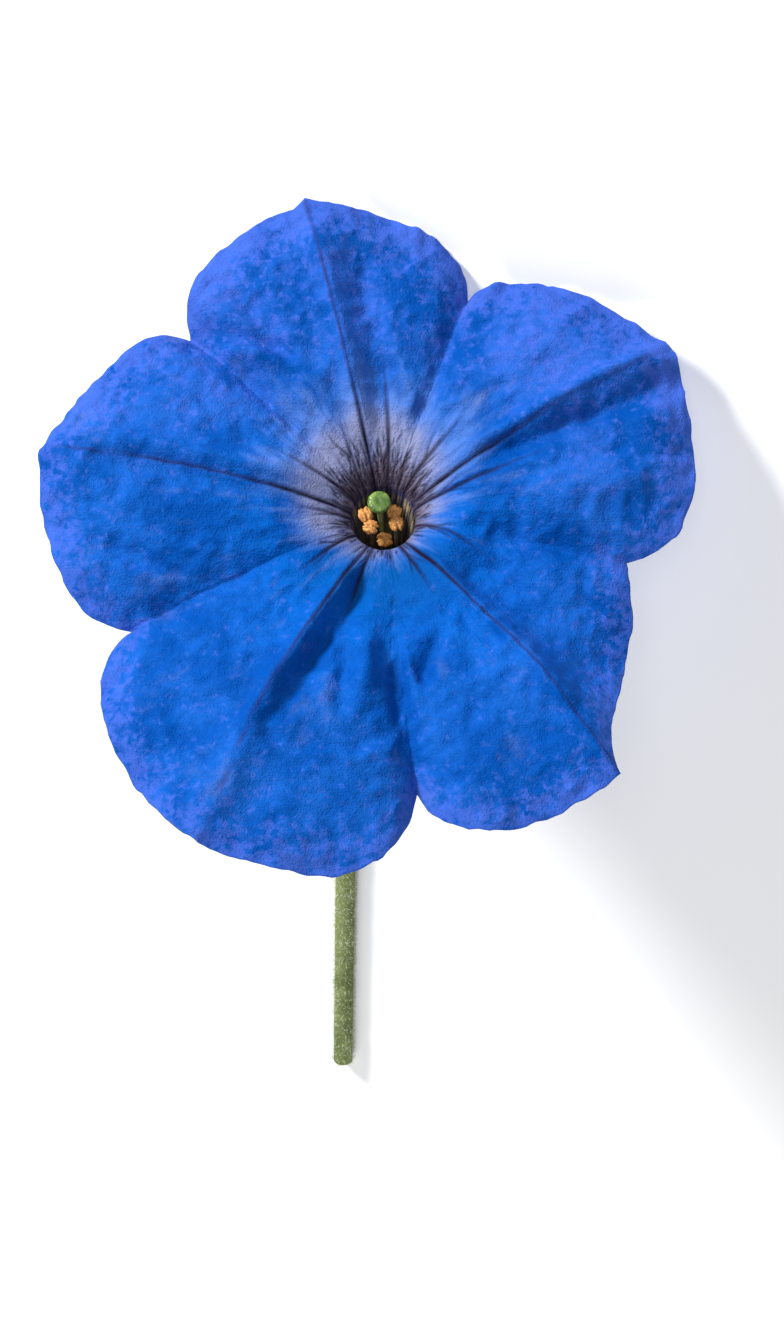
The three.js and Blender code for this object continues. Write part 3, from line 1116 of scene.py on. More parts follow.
    def detail(self, face: dict[str, Array], vein: Array) -> Array:
        """Height that pleats, wrinkles and veins add along the axis.

        Args:
            face: The face, as surface() gives it.
            vein: Vein mask over it.

        Returns:
            Millimetres, rows by columns.
        """
        rho, k = face["rho"], face["k"]
        lift = np.zeros_like(rho)
        plane = face["points"][:, :, :2]
        for pleat in self.pleats:
            way = np.array(pleat.stop) - np.array(pleat.start)
            length = np.linalg.norm(way)
            way /= length
            offset = plane - np.array(pleat.start)
            along = offset @ way
            across = offset[:, :, 0] * way[1] - offset[:, :, 1] * way[0]
            ease = min(5.0, 0.45 * length)
            reach = smooth(-0.4 * ease, ease, along) * (1 - smooth(length - ease, length + 0.6 * ease, along))
            lift += pleat.height * np.exp(-((across / pleat.width) ** 2)) * reach
        lift *= self.pleat_gain * smooth(0.02, 0.12, k)
        flat = face["points"].reshape(-1, 3) * np.array([1.0, 1.0, 0.3])
        broad, middle, fine = (
            ripple(flat, size, self.seed + i).reshape(rho.shape) for i, size in enumerate(self.wrinkles)
        )
        calm = smooth(0.05, 0.35, k)
        lift += calm * (0.5 * broad + 0.42 * (1 - 2 * np.abs(middle)) + 0.1 * (1 - 2 * np.abs(fine)))
        edge = smooth(0.78, 0.98, k)
        lift += 0.07 * edge * np.sin(np.radians(face["angle"]) * 97 + 3 * broad)
        lift -= (0.2 + 0.16 * (1 - smooth(0.2, 0.5, k))) * vein * smooth(0.0, 0.1, k)
        return lift

    # ---- veins

    def veins(self) -> list[Vein]:
        """The vein network: midribs, long laterals, short forked ones and broken dashes."""
        rng = np.random.default_rng(self.seed)
        found = []

        def add(start: float, stop: float, offsets: list, width: tuple, strength: tuple) -> None:
            """Adds one vein whose bearing passes through offsets from start to stop."""
            reach = np.linspace(start, stop, 40)
            t = np.linspace(0, 1, 40)
            bearing = np.interp(t, np.linspace(0, 1, len(offsets)), offsets)
            sway = rng.uniform(0.15, 0.5) * np.sin(t * rng.uniform(5, 9) + rng.uniform(0, 6))
            found.append(
                Vein(
                    reach,
                    bearing + sway * (t > 0) * min(1.0, 12 / stop),
                    np.interp(t, np.linspace(0, 1, len(width)), width),
                    np.interp(t, np.linspace(0, 1, len(strength)), strength),
                )
            )

        for index in range(5):
            rib, length = self.ribs[index]
            before = (rib - self.notches[index - 1][0]) % 360
            after = (self.notches[index][0] - rib) % 360
            reach = np.linspace(-26, length, 60)
            bend = self.rib_bends[index] * np.exp(-(((reach - 24) / 13) ** 2))
            found.append(
                Vein(
                    reach,
                    rib + bend,
                    np.interp(reach, [-26, 2, 8, 20, 40], [0.3, 0.3, 0.28, 0.2, 0.17]),
                    np.interp(reach, [-26, 0, 10, 22, 38], [0.5, 1.0, 1.0, 0.85, 0.6]),
                )
            )
            for span, side in ((before, -1), (after, 1)):
                for share in self.lateral_shares:
                    a = rib + side * span * share * rng.uniform(0.9, 1.05)
                    stop = rng.uniform(6.0, 8.5) + 2.0 * math.sin(math.radians(a))
                    add(-8, stop, [a, a, a + side * rng.uniform(-2, 3)], (0.14, 0.16, 0.07),
                        (0.4, 0.95, 0.0))
        for inner, outer, stop in self.main_veins:
            turn = outer - inner
            add(-4, stop, [inner, inner, inner + 0.3 * turn, inner + 0.7 * turn, outer],
                (0.24, 0.26, 0.28, 0.22, 0.12), (0.6, 1.0, 1.0, 0.7, 0.0))
            for side in (-1, 1):
                fork = rng.uniform(4.6, 7.5)
                reach = fork + rng.uniform(2.0, 4.5)
                if reach < stop:
                    lean = inner + 0.5 * turn
                    add(fork, reach, [lean, lean + side * rng.uniform(3, 6), lean + side * rng.uniform(5, 9)],
                        (0.14, 0.13, 0.06), (0.9, 0.6, 0.0))
        for _ in range(self.dash_count):
            angle = rng.normal(95, 42) if rng.random() < 0.72 else rng.uniform(0, 360)
            far = 5.0 + 4.0 * max(0.0, math.sin(math.radians(angle)))
            start = rng.triangular(1.5, 4.0, far)
            dark = np.interp(start, [3, 6, 9], [1.0, 0.9, 0.4])
            slant = rng.uniform(-3.5, 3.5)
            add(start, start + rng.uniform(0.7, 2.1), [angle, angle + slant], (0.1, 0.16, 0.08),
                (0.5 * dark, dark, 0.4 * dark))
        return found

    def vein_mask(self, face: dict[str, Array]) -> Array:
        """Darkness of the veins over the face, 0 to 1, rows by columns."""
        q, rho, angle = face["q"], face["rho"], face["angle"]
        mask = np.zeros_like(q)
        for vein in self.veins():
            rows = np.where((q.max(axis=1) >= vein.reach[0]) & (q.min(axis=1) <= vein.reach[-1]))[0]
            if not len(rows):
                continue
            part = slice(rows[0], rows[-1] + 1)
            here = q[part]
            bearing = np.interp(here, vein.reach, vein.bearing)
            width = np.interp(here, vein.reach, vein.width)
            strength = np.interp(here, vein.reach, vein.strength, left=0.0, right=0.0)
            across = np.radians((angle[part] - bearing + 540) % 360 - 180) * rho[part]
            mask[part] = np.maximum(mask[part], strength * np.exp(-((across / width) ** 2)))
        return mask

    # ---- mesh

    def build(self) -> bpy.types.Object:
        """Builds and dresses the corolla.

        Returns:
            The finished piece.
        """
        rays = self.rays()
        rows = self.stations()
        face = self.surface(rays, rows)
        vein = self.vein_mask(face)
        lift = self.detail(face, vein)
        front = face["points"].copy()
        front[:, :, 2] += lift
        normals = self._normals(front)
        wall = np.interp(face["k"], [0, 0.3, 0.97, 1.0], [self.wall, self.wall, 0.4, self.rim_wall])
        back = front - normals * wall[:, :, None]
        pick = np.unique(np.concatenate([np.arange(0, len(rows), 3), np.arange(len(rows) - 4, len(rows))]))
        outward = front[-1] - front[-2]
        outward /= np.linalg.norm(outward, axis=1)[:, None]
        edge = 0.5 * (front[-1] + back[-1]) + outward * self.edge_round
        rings = np.concatenate([front, edge[None], back[pick][::-1]])
        count, around = rings.shape[:2]
        placed = self.pose.place(rings.reshape(-1, 3))
        placed[:, 2] = self._lie(placed[:, 2])
        faces = [f[::-1] for f in loft_faces(count, around, closed_tube=True)]
        piece = mesh_object(
            "corolla_petals", placed, faces, [self.palette.petal_face, self.palette.petal_back]
        )
        back_rows = len(rows) + 1
        slots = np.zeros(len(faces), int)
        slots[back_rows * around :] = 1
        piece.data.polygons.foreach_set("material_index", slots)
        self._dress(piece, face, vein, pick)
        return declare(piece, "corolla")

    def _lie(self, height: Array) -> Array:
        """Lifts what would sink into the surface, as a petal's edge gives where it rests."""
        soft = self.rest_give
        return np.where(height < soft, soft * np.exp(np.minimum(height - soft, 0) / soft), height)

    @staticmethod
    def _normals(front: Array) -> Array:
        """Unit normals of the face, out of the mouth's side, rows by columns by three."""
        along = np.gradient(front, axis=0)
        around = np.roll(front, -1, axis=1) - np.roll(front, 1, axis=1)
        normal = np.cross(along, around)
        normal[0, :, 2] = 0
        return normal / np.linalg.norm(normal, axis=2)[:, :, None]

    def _dress(self, piece: bpy.types.Object, face: dict[str, Array], vein: Array, pick: Array) -> None:
        """Stores the patterns that the materials read.

        Args:
            piece: The corolla's piece.
            face: The face, as surface() gives it.
            vein: Vein mask over it.
            pick: The rows that the back repeats.
        """
        q, k, rho = face["q"], face["k"], face["rho"]
        angle = np.radians(face["angle"])
        margin = rho[-1][None, :] - rho
        reach = 9.4 + 3.2 * np.sin(angle) - 1.5 * np.cos(angle)
        halo = smooth(reach + 5.0, reach - 4.6, q)
        gloom = 4.7 + 1.5 * np.sin(angle)
        throat = 0.9 * smooth(gloom + 2.2, gloom - 1.6, q)
        # painted sheen at the margin: a band 7 mm wide along the edge that the violet is laid on
        margin_sheen = 1 - smooth(0.0, 7.0, margin)
        # painted highlight on the upper side of the face, strongest near bearing 80 degrees, where the light
        # falls
        side = np.cos(angle - math.radians(80))
        upper_sheen = smooth(0.2, 0.7, k) * (0.3 + 0.8 * smooth(-0.3, 0.9, side))
        length = np.where(q < rho, q - 3.8, rho - 3.8)
        grain = np.stack(
            [np.cos(angle) * 0.012, np.sin(angle) * 0.012, length * 0.28 * MM], axis=2
        )
        layers = {
            "vein": vein,
            "halo": halo,
            "throat": throat,
            "haze": smooth(reach + 10.0, reach - 1.0, q) * smooth(-0.4, 0.5, np.sin(angle)) * (q > 0),
            # painted light down the inside of the tube, over its olive-yellow colour
            "inside": smooth(4.2, 1.4, q),
            # painted shade on the lower lobes, from about 4 to 17 mm from the axis
            "painted_shade": 0.55 * smooth(4.0, 6.5, q) * smooth(17.0, 8.0, q) * smooth(0.3, 0.95, -np.sin(angle)),
            "margin_sheen": margin_sheen,
            "upper_sheen": upper_sheen,
            "far": smooth(9.0, 20.0, q),
            "tube": smooth(9.0, 3.0, q),
            "foot": smooth(-16.0, -27.0, q),
        }
        for name, values in layers.items():
            full = np.concatenate([values, values[-1:], values[pick][::-1]])
            add_values(piece, name, full.ravel())
        full = np.concatenate([grain, grain[-1:], grain[pick][::-1]])
        add_values(piece, "grain", full.reshape(-1, 3))


# ---------------------------------------------------------------- scattered growth


class Growth(Enum):
    """What grows on a surface."""

    HAIR = "gland_hair"
    GRAIN = "pollen_grain"


@dataclass(frozen=True)
class Scatter:
    """Hairs or grains that stand all over a surface, made with Geometry Nodes.

    sizes is the range of their scale, tilt the widest turn about each axis in radians, and
    taper the share of a hair's foot thickness that is left under its tip.
    """

    growth: Growth
    per_mm2: float
    length: float
    thickness: float
    tip: float
    seed: int
    clearance: float = 0.0
    sizes: tuple = (0.45, 1.25)
    tilt: tuple = (0.5, 0.5, 3.1)
    taper: float = 0.45

    def _tree(self, material: bpy.types.Material) -> bpy.types.NodeTree:
        """Builds the node tree.

        Args:
            material: The finish of what grows.

        Returns:
            The tree, with its sizes as named inputs.
        """
        tree = bpy.data.node_groups.new(f"{self.growth.value}_tree", "GeometryNodeTree")
        sockets = (
            ("Geometry", "NodeSocketGeometry"),
            ("Density", "NodeSocketFloat"),
            ("Length", "NodeSocketFloat"),
            ("Thickness", "NodeSocketFloat"),
            ("Tip", "NodeSocketFloat"),
            ("Clearance", "NodeSocketFloat"),
            ("Seed", "NodeSocketInt"),
        )
        for title, kind in sockets:
            tree.interface.new_socket(title, in_out="INPUT", socket_type=kind)
        tree.interface.new_socket("Geometry", in_out="OUTPUT", socket_type="NodeSocketGeometry")
        n = Nodes(tree)
        source = n.add("NodeGroupInput").outputs
        height = n.add("ShaderNodeSeparateXYZ")
        n.put(height.inputs[0], n.add("GeometryNodeInputPosition").outputs[0])
        above = n.add("FunctionNodeCompare", {"data_type": "FLOAT", "operation": "GREATER_THAN"})
        n.put(above.inputs[0], height.outputs["Z"])
        n.put(above.inputs[1], source["Clearance"])
        points = n.add("GeometryNodeDistributePointsOnFaces", Mesh=source["Geometry"])
        n.put(points.inputs["Selection"], above.outputs[0])
        n.put(points.inputs["Density"], source["Density"])
        n.put(points.inputs["Seed"], source["Seed"])
        body = n.add("GeometryNodeSetShadeSmooth", Geometry=self._body(n, source)).outputs[0]
        size = n.add("FunctionNodeRandomValue", {"data_type": "FLOAT"})
        n.put(size.inputs[2], self.sizes[0])
        n.put(size.inputs[3], self.sizes[1])
        n.put(size.inputs["Seed"], source["Seed"])
        tilt = n.add("FunctionNodeRandomValue", {"data_type": "FLOAT_VECTOR"})
        n.put(tilt.inputs[0], tuple(-angle for angle in self.tilt))
        n.put(tilt.inputs[1], self.tilt)
        n.put(tilt.inputs["Seed"], source["Seed"])
        grown = n.add("GeometryNodeInstanceOnPoints", Points=points.outputs["Points"])
        n.put(grown.inputs["Instance"], body)
        n.put(grown.inputs["Rotation"], points.outputs["Rotation"])
        n.put(grown.inputs["Scale"], size.outputs[1])
        turned = n.add("GeometryNodeRotateInstances", Instances=grown.outputs[0])
        n.put(turned.inputs["Rotation"], tilt.outputs[0])
        real = n.add("GeometryNodeRealizeInstances", Geometry=turned.outputs[0])
        coated = n.add("GeometryNodeSetMaterial", Geometry=real.outputs[0], Material=material)
        n.put(n.add("NodeGroupOutput").inputs[0], coated.outputs[0])
        return tree

    def _body(self, n: Nodes, source: object) -> object:
        """Builds one hair or grain and returns its geometry socket."""
        ball = n.add("GeometryNodeMeshIcoSphere", Radius=source["Tip"], Subdivisions=1)
        if self.growth is Growth.GRAIN:
            return ball.outputs["Mesh"]
        cone = n.add("GeometryNodeMeshCone", Vertices=3)
        n.put(cone.inputs["Radius Bottom"], source["Thickness"])
        n.put(cone.inputs["Radius Top"], n.times(source["Thickness"], self.taper))
        n.put(cone.inputs["Depth"], source["Length"])
        place = n.add("ShaderNodeCombineXYZ", Z=source["Length"])
        raised = n.add("GeometryNodeTransform", Geometry=ball.outputs["Mesh"])
        n.put(raised.inputs["Translation"], place.outputs[0])
        joined = n.add("GeometryNodeJoinGeometry")
        n.put(joined.inputs[0], cone.outputs["Mesh"])
        n.put(joined.inputs[0], raised.outputs[0])
        return joined.outputs[0]

    def grow(self, name: str, ground: list, material: bpy.types.Material) -> bpy.types.Object:
        """Grows a piece on other pieces.

        Args:
            name: The new piece's name.
            ground: The pieces it grows on.
            material: Its finish.

        Returns:
            The new piece, a plain mesh.
        """
        merged = bmesh.new()
        for piece in ground:
            merged.from_mesh(piece.data)
        data = bpy.data.meshes.new(f"{name}_ground")
        merged.to_mesh(data)
        merged.free()
        host = bpy.data.objects.new(f"{name}_ground", data)
        bpy.context.scene.collection.objects.link(host)
        tree = self._tree(material)
        modifier = host.modifiers.new("growth", "NODES")
        modifier.node_group = tree
        values = {
            "Density": self.per_mm2 / MM**2,
            "Length": self.length * MM,
            "Thickness": self.thickness * MM,
            "Tip": self.tip * MM,
            "Clearance": self.clearance * MM,
            "Seed": self.seed,
        }
        for item in tree.interface.items_tree:
            if item.in_out == "INPUT" and item.name in values:
                modifier[item.identifier] = values[item.name]
        result = host.evaluated_get(bpy.context.evaluated_depsgraph_get())
        grown = bpy.data.meshes.new_from_object(result)
        grown.name = name
        bpy.data.objects.remove(host)
        bpy.data.meshes.remove(data)
        piece = bpy.data.objects.new(name, grown)
        bpy.context.scene.collection.objects.link(piece)
        return piece


# ---------------------------------------------------------------- stalk and calyx


@dataclass
class Stalk:
    """Pedicel: swollen under the blossom, then a round hairy stalk along the surface.

    swelling holds radius and height, and run each point's way across, along and above the
    surface from the swelling's end. cut_rounding holds each ring of the cut end: its share
    of the stalk's radius, and how far out it stands.
    """

    pose: Pose
    palette: Palette
    radius: float = 1.25
    swelling: tuple = ((2.7, -33.4), (2.95, -34.0), (2.72, -34.9), (1.85, -36.2), (1.35, -38.0))
    run: tuple = (
        (-0.3, 12, 0.35),
        (-1.6, 24, 0.05),
        (-3.8, 36, 0),
        (-6.6, 48, 0),
        (-9.5, 60, 0),
        (-12.4, 72, 0),
    )
    cut_rounding: tuple = ((0.97, 0.06), (0.86, 0.1), (0.72, 0.04), (0.45, 0.1), (0.2, 0.14))
    skin_share: float = 0.985
    lump_size: float = 1.7
    steps: int = 300
    around: int = 48
    seed: int = 5

    def path(self) -> Array:
        """Centre line from the foot of the blossom to the cut end."""
        rotation, mouth = self.pose.rotation(), self.pose.mouth()
        lead = [mouth + rotation[:, 2] * height for _, height in self.swelling]
        foot = lead[-1]
        run = [(foot[0] + across, foot[1] + along, self.radius + rise) for across, along, rise in self.run]
        return centripetal(np.array([lead[0], lead[2], lead[4], *run]), self.steps)

    def build(self) -> list[bpy.types.Object]:
        """Builds the stalk and its hairs.

        Returns:
            The pieces.
        """
        path = self.path()
        length = arc_length(path)
        reached = np.clip(length / (self.swelling[0][1] - self.swelling[-1][1]), 0, 1) * 4
        radii = through([r for r, _ in self.swelling], reached)[:, 0]
        radii = np.where(reached >= 4, self.radius, radii)
        turns = ring_turns(self.around)
        lumps = ripple(
            np.stack(
                [np.repeat(length, self.around), 2.2 * np.tile(np.cos(turns), self.steps),
                 2.2 * np.tile(np.sin(turns), self.steps)],
                axis=1,
            ),
            self.lump_size,
            self.seed,
        ).reshape(self.steps, self.around)
        ribs = 0.012 * np.cos(5 * turns[None, :] + 0.05 * length[:, None])
        rings = stalk_rings(path, radii * self.skin_share, self.around, 0.03 * lumps + ribs)
        ahead = path[-1] - path[-2]
        ahead /= np.linalg.norm(ahead)
        end = rings[-1]
        centre = end.mean(axis=0)
        caps = [centre + (end - centre) * share + ahead * out for share, out in self.cut_rounding]
        rings = np.concatenate([rings, np.array(caps)])
        vertices, faces = capped_loft(rings)
        vertices[:, 2] = np.maximum(vertices[:, 2], 0.01)
        skin = self.palette.tissue[Tissue.STALK]
        stalk = mesh_object("stalk", vertices, faces, [skin, self.palette.tissue[Tissue.CUT]])
        quads = len(rings) - 1
        slots = np.zeros(len(faces), int)
        slots[(quads - len(caps)) * self.around : quads * self.around] = 1
        slots[quads * self.around + 1 :: 2] = 1
        stalk.data.polygons.foreach_set("material_index", slots)
        declare(stalk, "pedicel")
        hairs = Scatter(Growth.HAIR, 10.5, 0.3, 0.032, 0.052, self.seed, clearance=0.5)
        fuzz = hairs.grow("stalk_hairs", [stalk], self.palette.tissue[Tissue.HAIR])
        return [stalk, declare(fuzz)]


@dataclass
class Calyx:
    """Five narrow hairy sepals that clasp the foot of the tube.

    spine holds distance from the axis and height.
    """

    pose: Pose
    palette: Palette
    azimuth: float = 12.0
    spine: tuple = ((3.35, -34.2), (3.4, -31.5), (3.6, -28.5), (4.2, -25.5), (5.3, -22.8), (6.9, -20.8))
    widths: tuple = (2.2, 2.3, 2.6, 2.9, 2.4, 0.9)
    thickness: float = 0.62
    steps: int = 70
    around: int = 40
    seed: int = 21

    def sepal(self, index: int) -> Array:
        """Rings of one sepal in the blossom's own frame.

        Args:
            index: Which sepal, 0 to 4.

        Returns:
            The points, rings by around by three.
        """
        rng = np.random.default_rng(self.seed + index)
        share = np.linspace(0, 1, self.steps)
        spine = through(np.array(self.spine), share * (len(self.spine) - 1))
        ahead = tangents(spine)
        width = through(list(self.widths), share * (len(self.widths) - 1))[:, 0]
        width *= np.sqrt(np.clip(1 - ((share - 0.9) / 0.1).clip(0, 0.985) ** 2, 0, 1))
        turns = ring_turns(self.around)
        across = -0.5 * width[:, None] * np.cos(turns)
        flat = np.abs(np.sin(turns)) ** 0.8 * np.sign(np.sin(turns))
        keel = 1 + 0.5 * np.exp(-((across / 0.28) ** 2))
        keel = keel - 0.25 * np.exp(-(((np.abs(across) - 0.6) / 0.25) ** 2))
        thick = 0.5 * self.thickness * flat[None, :] * keel
        thick *= np.minimum(1, width / 1.2)[:, None] ** 0.5
        cup = across**2 / (2 * spine[:, 0:1])
        wave = 0.1 * np.sin(share * 14 + rng.uniform(0, 6))[:, None] * (across / 1.4) ** 2
        out = thick - cup + wave * smooth(0.2, 0.6, share)[:, None]
        radius = spine[:, 0:1] + out * ahead[:, 1:2]
        height = spine[:, 1:2] - out * ahead[:, 0:1]
        turn = math.radians(self.azimuth + 72 * index)
        x = radius * math.cos(turn) - across * math.sin(turn)
        y = radius * math.sin(turn) + across * math.cos(turn)
        return np.stack([x, y, height], axis=2)

    def build(self) -> list[bpy.types.Object]:
        """Builds the sepals and their hairs.

        Returns:
            The pieces.
        """
        leaf = self.palette.tissue[Tissue.SEPAL]
        pieces = []
        for index in range(5):
            rings = self.pose.place(self.sepal(index))
            name, node = f"sepal_leaf_{index + 1}", f"sepal_{index + 1}"
            pieces.append(ring_piece(name, rings, leaf, node))
        hairs = Scatter(Growth.HAIR, 7.0, 0.42, 0.026, 0.032, self.seed, clearance=0.5)
        fuzz = hairs.grow("sepal_hairs", pieces, self.palette.tissue[Tissue.HAIR])
        return [*pieces, declare(fuzz)]


# ---------------------------------------------------------------- pistil and stamens


@dataclass
class Pistil:
    """Ovary in the foot of the tube, a slender style and a wet disc of a stigma.

    ovary and stigma hold radius and height.
    """

    pose: Pose
    palette: Palette
    ovary: tuple = (
        (0.3, -33.0), (0.85, -33.0), (1.15, -32.2), (1.1, -31.0), (0.7, -29.6), (0.35, -28.9), (0.1, -28.8),
    )
    style_radius: float = 0.32
    style: tuple = ((0, 0, -28.5), (0, 0.1, -20), (-0.2, 0.5, -8), (-0.5, 1.3, 1.4))
    stigma_place: tuple = (-0.5, 1.3, 1.7)
    stigma: tuple = (
        (0.3, 0.02), (0.8, 0.02), (1.25, 0.3), (1.35, 0.65),
        (1.2, 1.0), (0.75, 1.15), (0.35, 1.17), (0.08, 1.15),
    )
    seed: int = 31

    def _turned(self, profile: tuple, rings: int, around: int, lump: float) -> Array:
        """A lathe body with soft lumps.

        Args:
            profile: Radius and height stations.
            rings: How many rings to make.
            around: Points in each ring.
            lump: Height of the lumps.

        Returns:
            The points, rings by around by three.
        """
        stations = through(np.array(profile), np.linspace(0, len(profile) - 1, rings))
        points = lathe_rings(stations, around)
        flat = points.reshape(-1, 3)
        bumps = ripple(flat, 0.45, self.seed).reshape(rings, around, 1)
        return points * (1 + lump * bumps * np.array([1.0, 1.0, 0.0]))

    def build(self) -> list[bpy.types.Object]:
        """Builds the pistil's three pieces.

        Returns:
            The pieces.
        """
        tissue, place = self.palette.tissue, self.pose.place
        body = place(self._turned(self.ovary, 40, 36, 0.03))
        ovary = ring_piece("ovary_body", body, tissue[Tissue.PISTIL], "ovary")
        path = centripetal(np.array(self.style, float), 120)
        radii = self.style_radius * (0.92 + 0.2 * smooth(-4, 1.4, path[:, 2]))
        rod = place(stalk_rings(path, radii, 20))
        style = ring_piece("style_stalk", rod, tissue[Tissue.PISTIL], "style")
        disc = self._turned(self.stigma, 48, 64, 0.035)
        turn = np.arctan2(disc[:, :, 1], disc[:, :, 0])
        reach = np.hypot(disc[:, :, 0], disc[:, :, 1])
        top = smooth(0.5, 1.0, disc[:, :, 2])
        across = disc[:, :, 0] * math.cos(0.4) + disc[:, :, 1] * math.sin(0.4)
        dip = 0.07 * np.exp(-((across / 0.25) ** 2)) * (1 - smooth(0.5, 1.25, reach))
        bead = 0.035 * np.sin(turn * 17) * smooth(0.7, 1.2, reach)
        disc[:, :, 2] += top * (bead - dip)
        head = place(disc + np.array(self.stigma_place))
        stigma = ring_piece("stigma_disc", head, tissue[Tissue.STIGMA], "stigma")
        core = top * (1 - smooth(0.25, 1.15, reach))
        add_values(stigma, "core", np.append(core.ravel(), [0.0, 1.0]))
        return [ovary, style, stigma]


@dataclass
class Stamens:
    """Five stamens: two long pairs and a short one, each a filament and an anther.

    anthers holds each one's place and its turn. swell is how much larger the sacs are made.
    """

    pose: Pose
    palette: Palette
    anthers: tuple = (
        ((-2.1, 0.4, 0.5), 20),
        ((-1.5, -1.05, 0.3), 75),
        ((1.25, 0.75, 0.4), -30),
        ((1.5, -0.5, 0.1), 15),
        ((0.1, -1.6, -2.6), 90),
    )
    size: tuple = (0.72, 0.85, 0.62)
    swell: float = 1.14
    filament_radius: float = 0.24
    foot_radius: float = 1.45
    foot_height: float = -26.0
    seed: int = 41

    def anther(self, index: int) -> Array:
        """Shape of one anther: two pollen sacs, each with its own slit.

        Args:
            index: Which anther, 0 to 4.

        Returns:
            Its points in the blossom's own frame, rings by around by three.
        """
        rows, around = 34, 56
        lat = np.linspace(0.06, math.pi - 0.06, rows)[:, None]
        lon = np.linspace(0, 2 * math.pi, around, endpoint=False)[None, :]
        y = np.cos(lat) * np.ones_like(lon)
        x, z = np.sin(lat) * np.cos(lon), np.sin(lat) * np.sin(lon)
        seam = 0.34 * np.exp(-((x / 0.2) ** 2))
        slit = 0.13 * np.exp(-(((np.abs(x) - 0.52) / 0.1) ** 2)) * smooth(-0.1, 0.5, z)
        flat = np.stack([x, y, z], axis=2).reshape(-1, 3)
        lumps = ripple(flat, 0.42, self.seed + index).reshape(x.shape)
        grow = 1 - seam - slit + 0.22 * lumps
        points = np.stack(
            [x * self.size[0] * (1 + 0.12 * lumps), y * self.size[1] * grow, z * self.size[2] * grow], axis=2
        )
        points *= self.swell
        (px, py, pz), turn = self.anthers[index]
        c, s = math.cos(math.radians(turn)), math.sin(math.radians(turn))
        turned = points @ np.array([[c, s, 0], [-s, c, 0], [0, 0, 1.0]])
        return (turned + np.array([px, py, pz]))[::-1]

    def filament(self, index: int) -> Array:
        """Centre line of one filament in the blossom's own frame."""
        top = np.array(self.anthers[index][0], float)
        outward = math.atan2(top[1], top[0])
        foot = np.array(
            [self.foot_radius * math.cos(outward), self.foot_radius * math.sin(outward), self.foot_height]
        )
        end = top - np.array([0, 0, self.size[2] + 0.3])
        neck = (end - np.array([0, 0, 2.5])) * np.array([0.97, 0.97, 1.0])
        return centripetal(np.array([foot, 0.5 * (foot + end), neck, end]), 80)

    def build(self) -> list[bpy.types.Object]:
        """Builds the stamens and their pollen.

        Returns:
            The pieces.
        """
        pollen, skin = self.palette.pollen, self.palette.tissue[Tissue.FILAMENT]
        pieces = []
        for index in range(5):
            rings = self.pose.place(self.anther(index))
            name, node = f"anther_sacs_{index + 1}", f"anther_{index + 1}"
            pieces.append(ring_piece(name, rings, pollen, node))
        dust = Scatter(Growth.GRAIN, 34.0, 0.0, 0.0, 0.045, self.seed)
        pieces.append(declare(dust.grow("pollen_grains", pieces, pollen)))
        for index in range(5):
            path = self.filament(index)
            radii = self.filament_radius * np.interp(np.linspace(0, 1, 80), [0, 0.85, 1], [1.0, 0.85, 0.6])
            rings = self.pose.place(stalk_rings(path, radii, 16))
            name, node = f"filament_stalk_{index + 1}", f"filament_{index + 1}"
            pieces.append(ring_piece(name, rings, skin, node))
        return pieces


# ---------------------------------------------------------------- studio


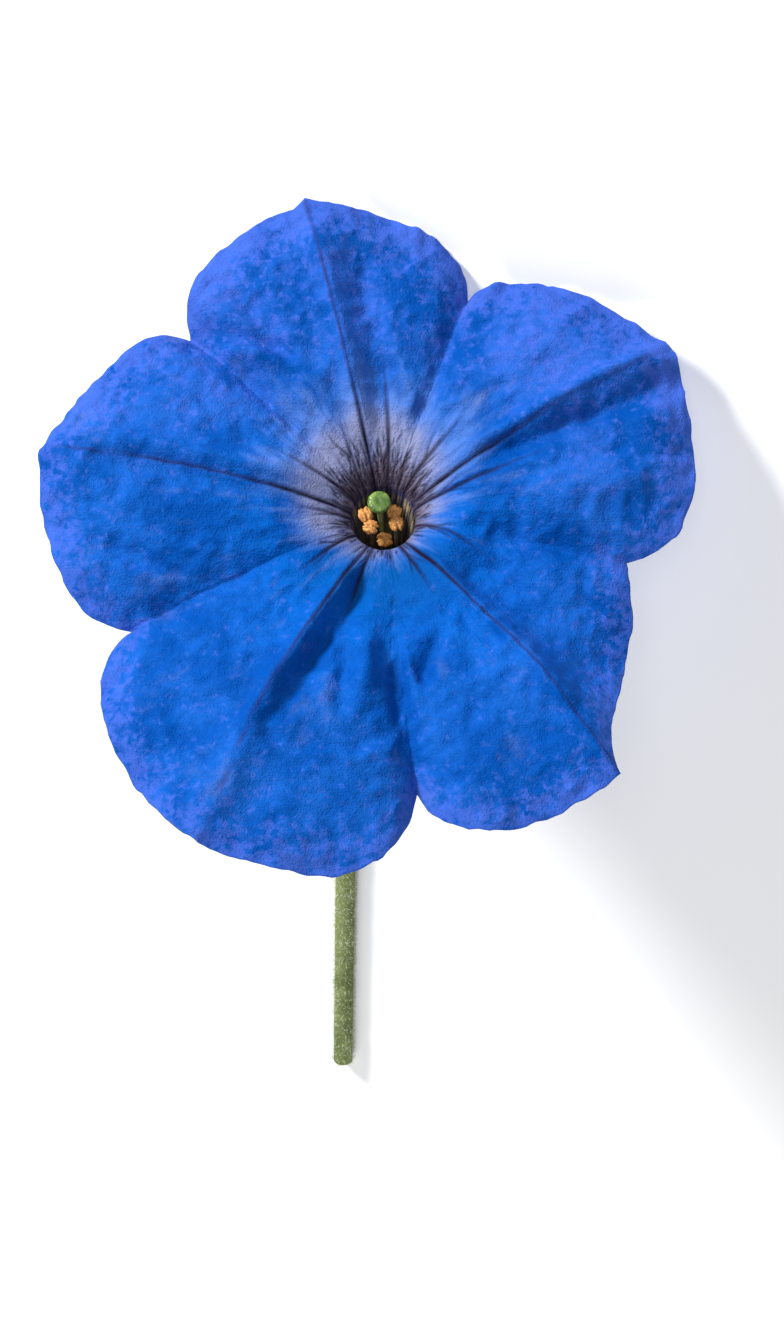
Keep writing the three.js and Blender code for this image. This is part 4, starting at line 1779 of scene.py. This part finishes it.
@dataclass
class Studio:
    """Camera, lights and floor.

    The floor's half width and the lights' distances and sizes are in metres.
    """

    pose: Pose
    palette: Palette
    face_up: float = 17.0
    distance: float = 620.0
    frame_height: float = 156.0
    look_across: float = 1.0
    look_up: float = -17.5
    floor_half: float = 3.0
    surround_light: float = 0.16
    surround_seen: float = 0.74

    def axes(self) -> tuple[Vector, Vector, Vector]:
        """Directions to the picture's right, to its top and from the flower to the camera."""
        right, up, out = (Vector(c) for c in self.pose.rotation().T)
        t = math.radians(self.face_up)
        return right, up * math.cos(t) + out * math.sin(t), out * math.cos(t) - up * math.sin(t)

    def build(self) -> None:
        """Builds the studio."""
        self._camera()
        self._floor()
        self._lights()

    def _camera(self) -> None:
        """Places the camera in front of the blossom's face."""
        right, up, back = self.axes()
        target = Vector(self.pose.mouth()) + right * self.look_across + up * self.look_up
        data = bpy.data.cameras.new("camera")
        data.sensor_width = SENSOR_WIDTH
        data.lens = SENSOR_WIDTH * self.distance / self.frame_height
        data.clip_start = 0.01
        data.clip_end = 20.0
        camera = bpy.data.objects.new("camera", data)
        turn = Matrix((right, up, back)).transposed().to_4x4()
        camera.matrix_world = Matrix.Translation((target + back * self.distance) * MM) @ turn
        bpy.context.scene.collection.objects.link(camera)
        bpy.context.scene.camera = camera

    def _floor(self) -> None:
        """Lays the floor."""
        data = bpy.data.meshes.new("floor")
        b = bmesh.new()
        bmesh.ops.create_grid(b, x_segments=2, y_segments=2, size=self.floor_half)
        b.to_mesh(data)
        b.free()
        data.materials.append(self.palette.floor)
        floor = bpy.data.objects.new("floor", data)
        bpy.context.scene.collection.objects.link(floor)

    def _lights(self) -> None:
        """Hangs three soft lights and sets an even surround, paler to the camera than as a light."""
        right, up, back = self.axes()
        target = Vector(self.pose.mouth())
        plan = (
            ("key", back * 0.72 + up * 0.55 - right * 0.8, 1.2, 0.3, 23.0),
            ("front", back, 1.2, 0.4, 3.6),
            ("wash", Vector((-0.25, 0.75, 0.62)), 1.2, 1.4, 15.0),
        )
        for name, way, far, size, power in plan:
            data = bpy.data.lights.new(name, "AREA")
            data.shape = "DISK"
            data.size = size
            data.energy = power
            light = bpy.data.objects.new(name, data)
            way = way.normalized()
            light.location = target * MM + way * far
            light.rotation_mode = "QUATERNION"
            light.rotation_quaternion = (-way).to_track_quat("-Z", "Y")
            bpy.context.scene.collection.objects.link(light)
        world = bpy.data.worlds.new("surround")
        world.use_nodes = True
        n = Nodes(world.node_tree)
        background = world.node_tree.nodes["Background"]
        n.put(background.inputs["Color"], (1, 1, 1, 1))
        seen = n.add("ShaderNodeLightPath").outputs["Is Camera Ray"]
        n.put(background.inputs["Strength"], n.scaled(seen, self.surround_seen, self.surround_light))
        bpy.context.scene.world = world
        bpy.context.scene.view_settings.view_transform = "Standard"


def main() -> None:
    """Builds the flower and its studio."""
    logging.basicConfig(level=logging.INFO, format="%(name)s: %(message)s")
    pose = Pose()
    palette = Palette()
    Studio(pose, palette).build()
    pieces = [Corolla(pose, palette).build()]
    for assembly in (Stalk, Calyx, Pistil, Stamens):
        pieces.extend(assembly(pose, palette).build())
    for piece in pieces:
        LOG.info("%s: %d faces", piece.name, len(piece.data.polygons))


if __name__ == "__main__":
    main()
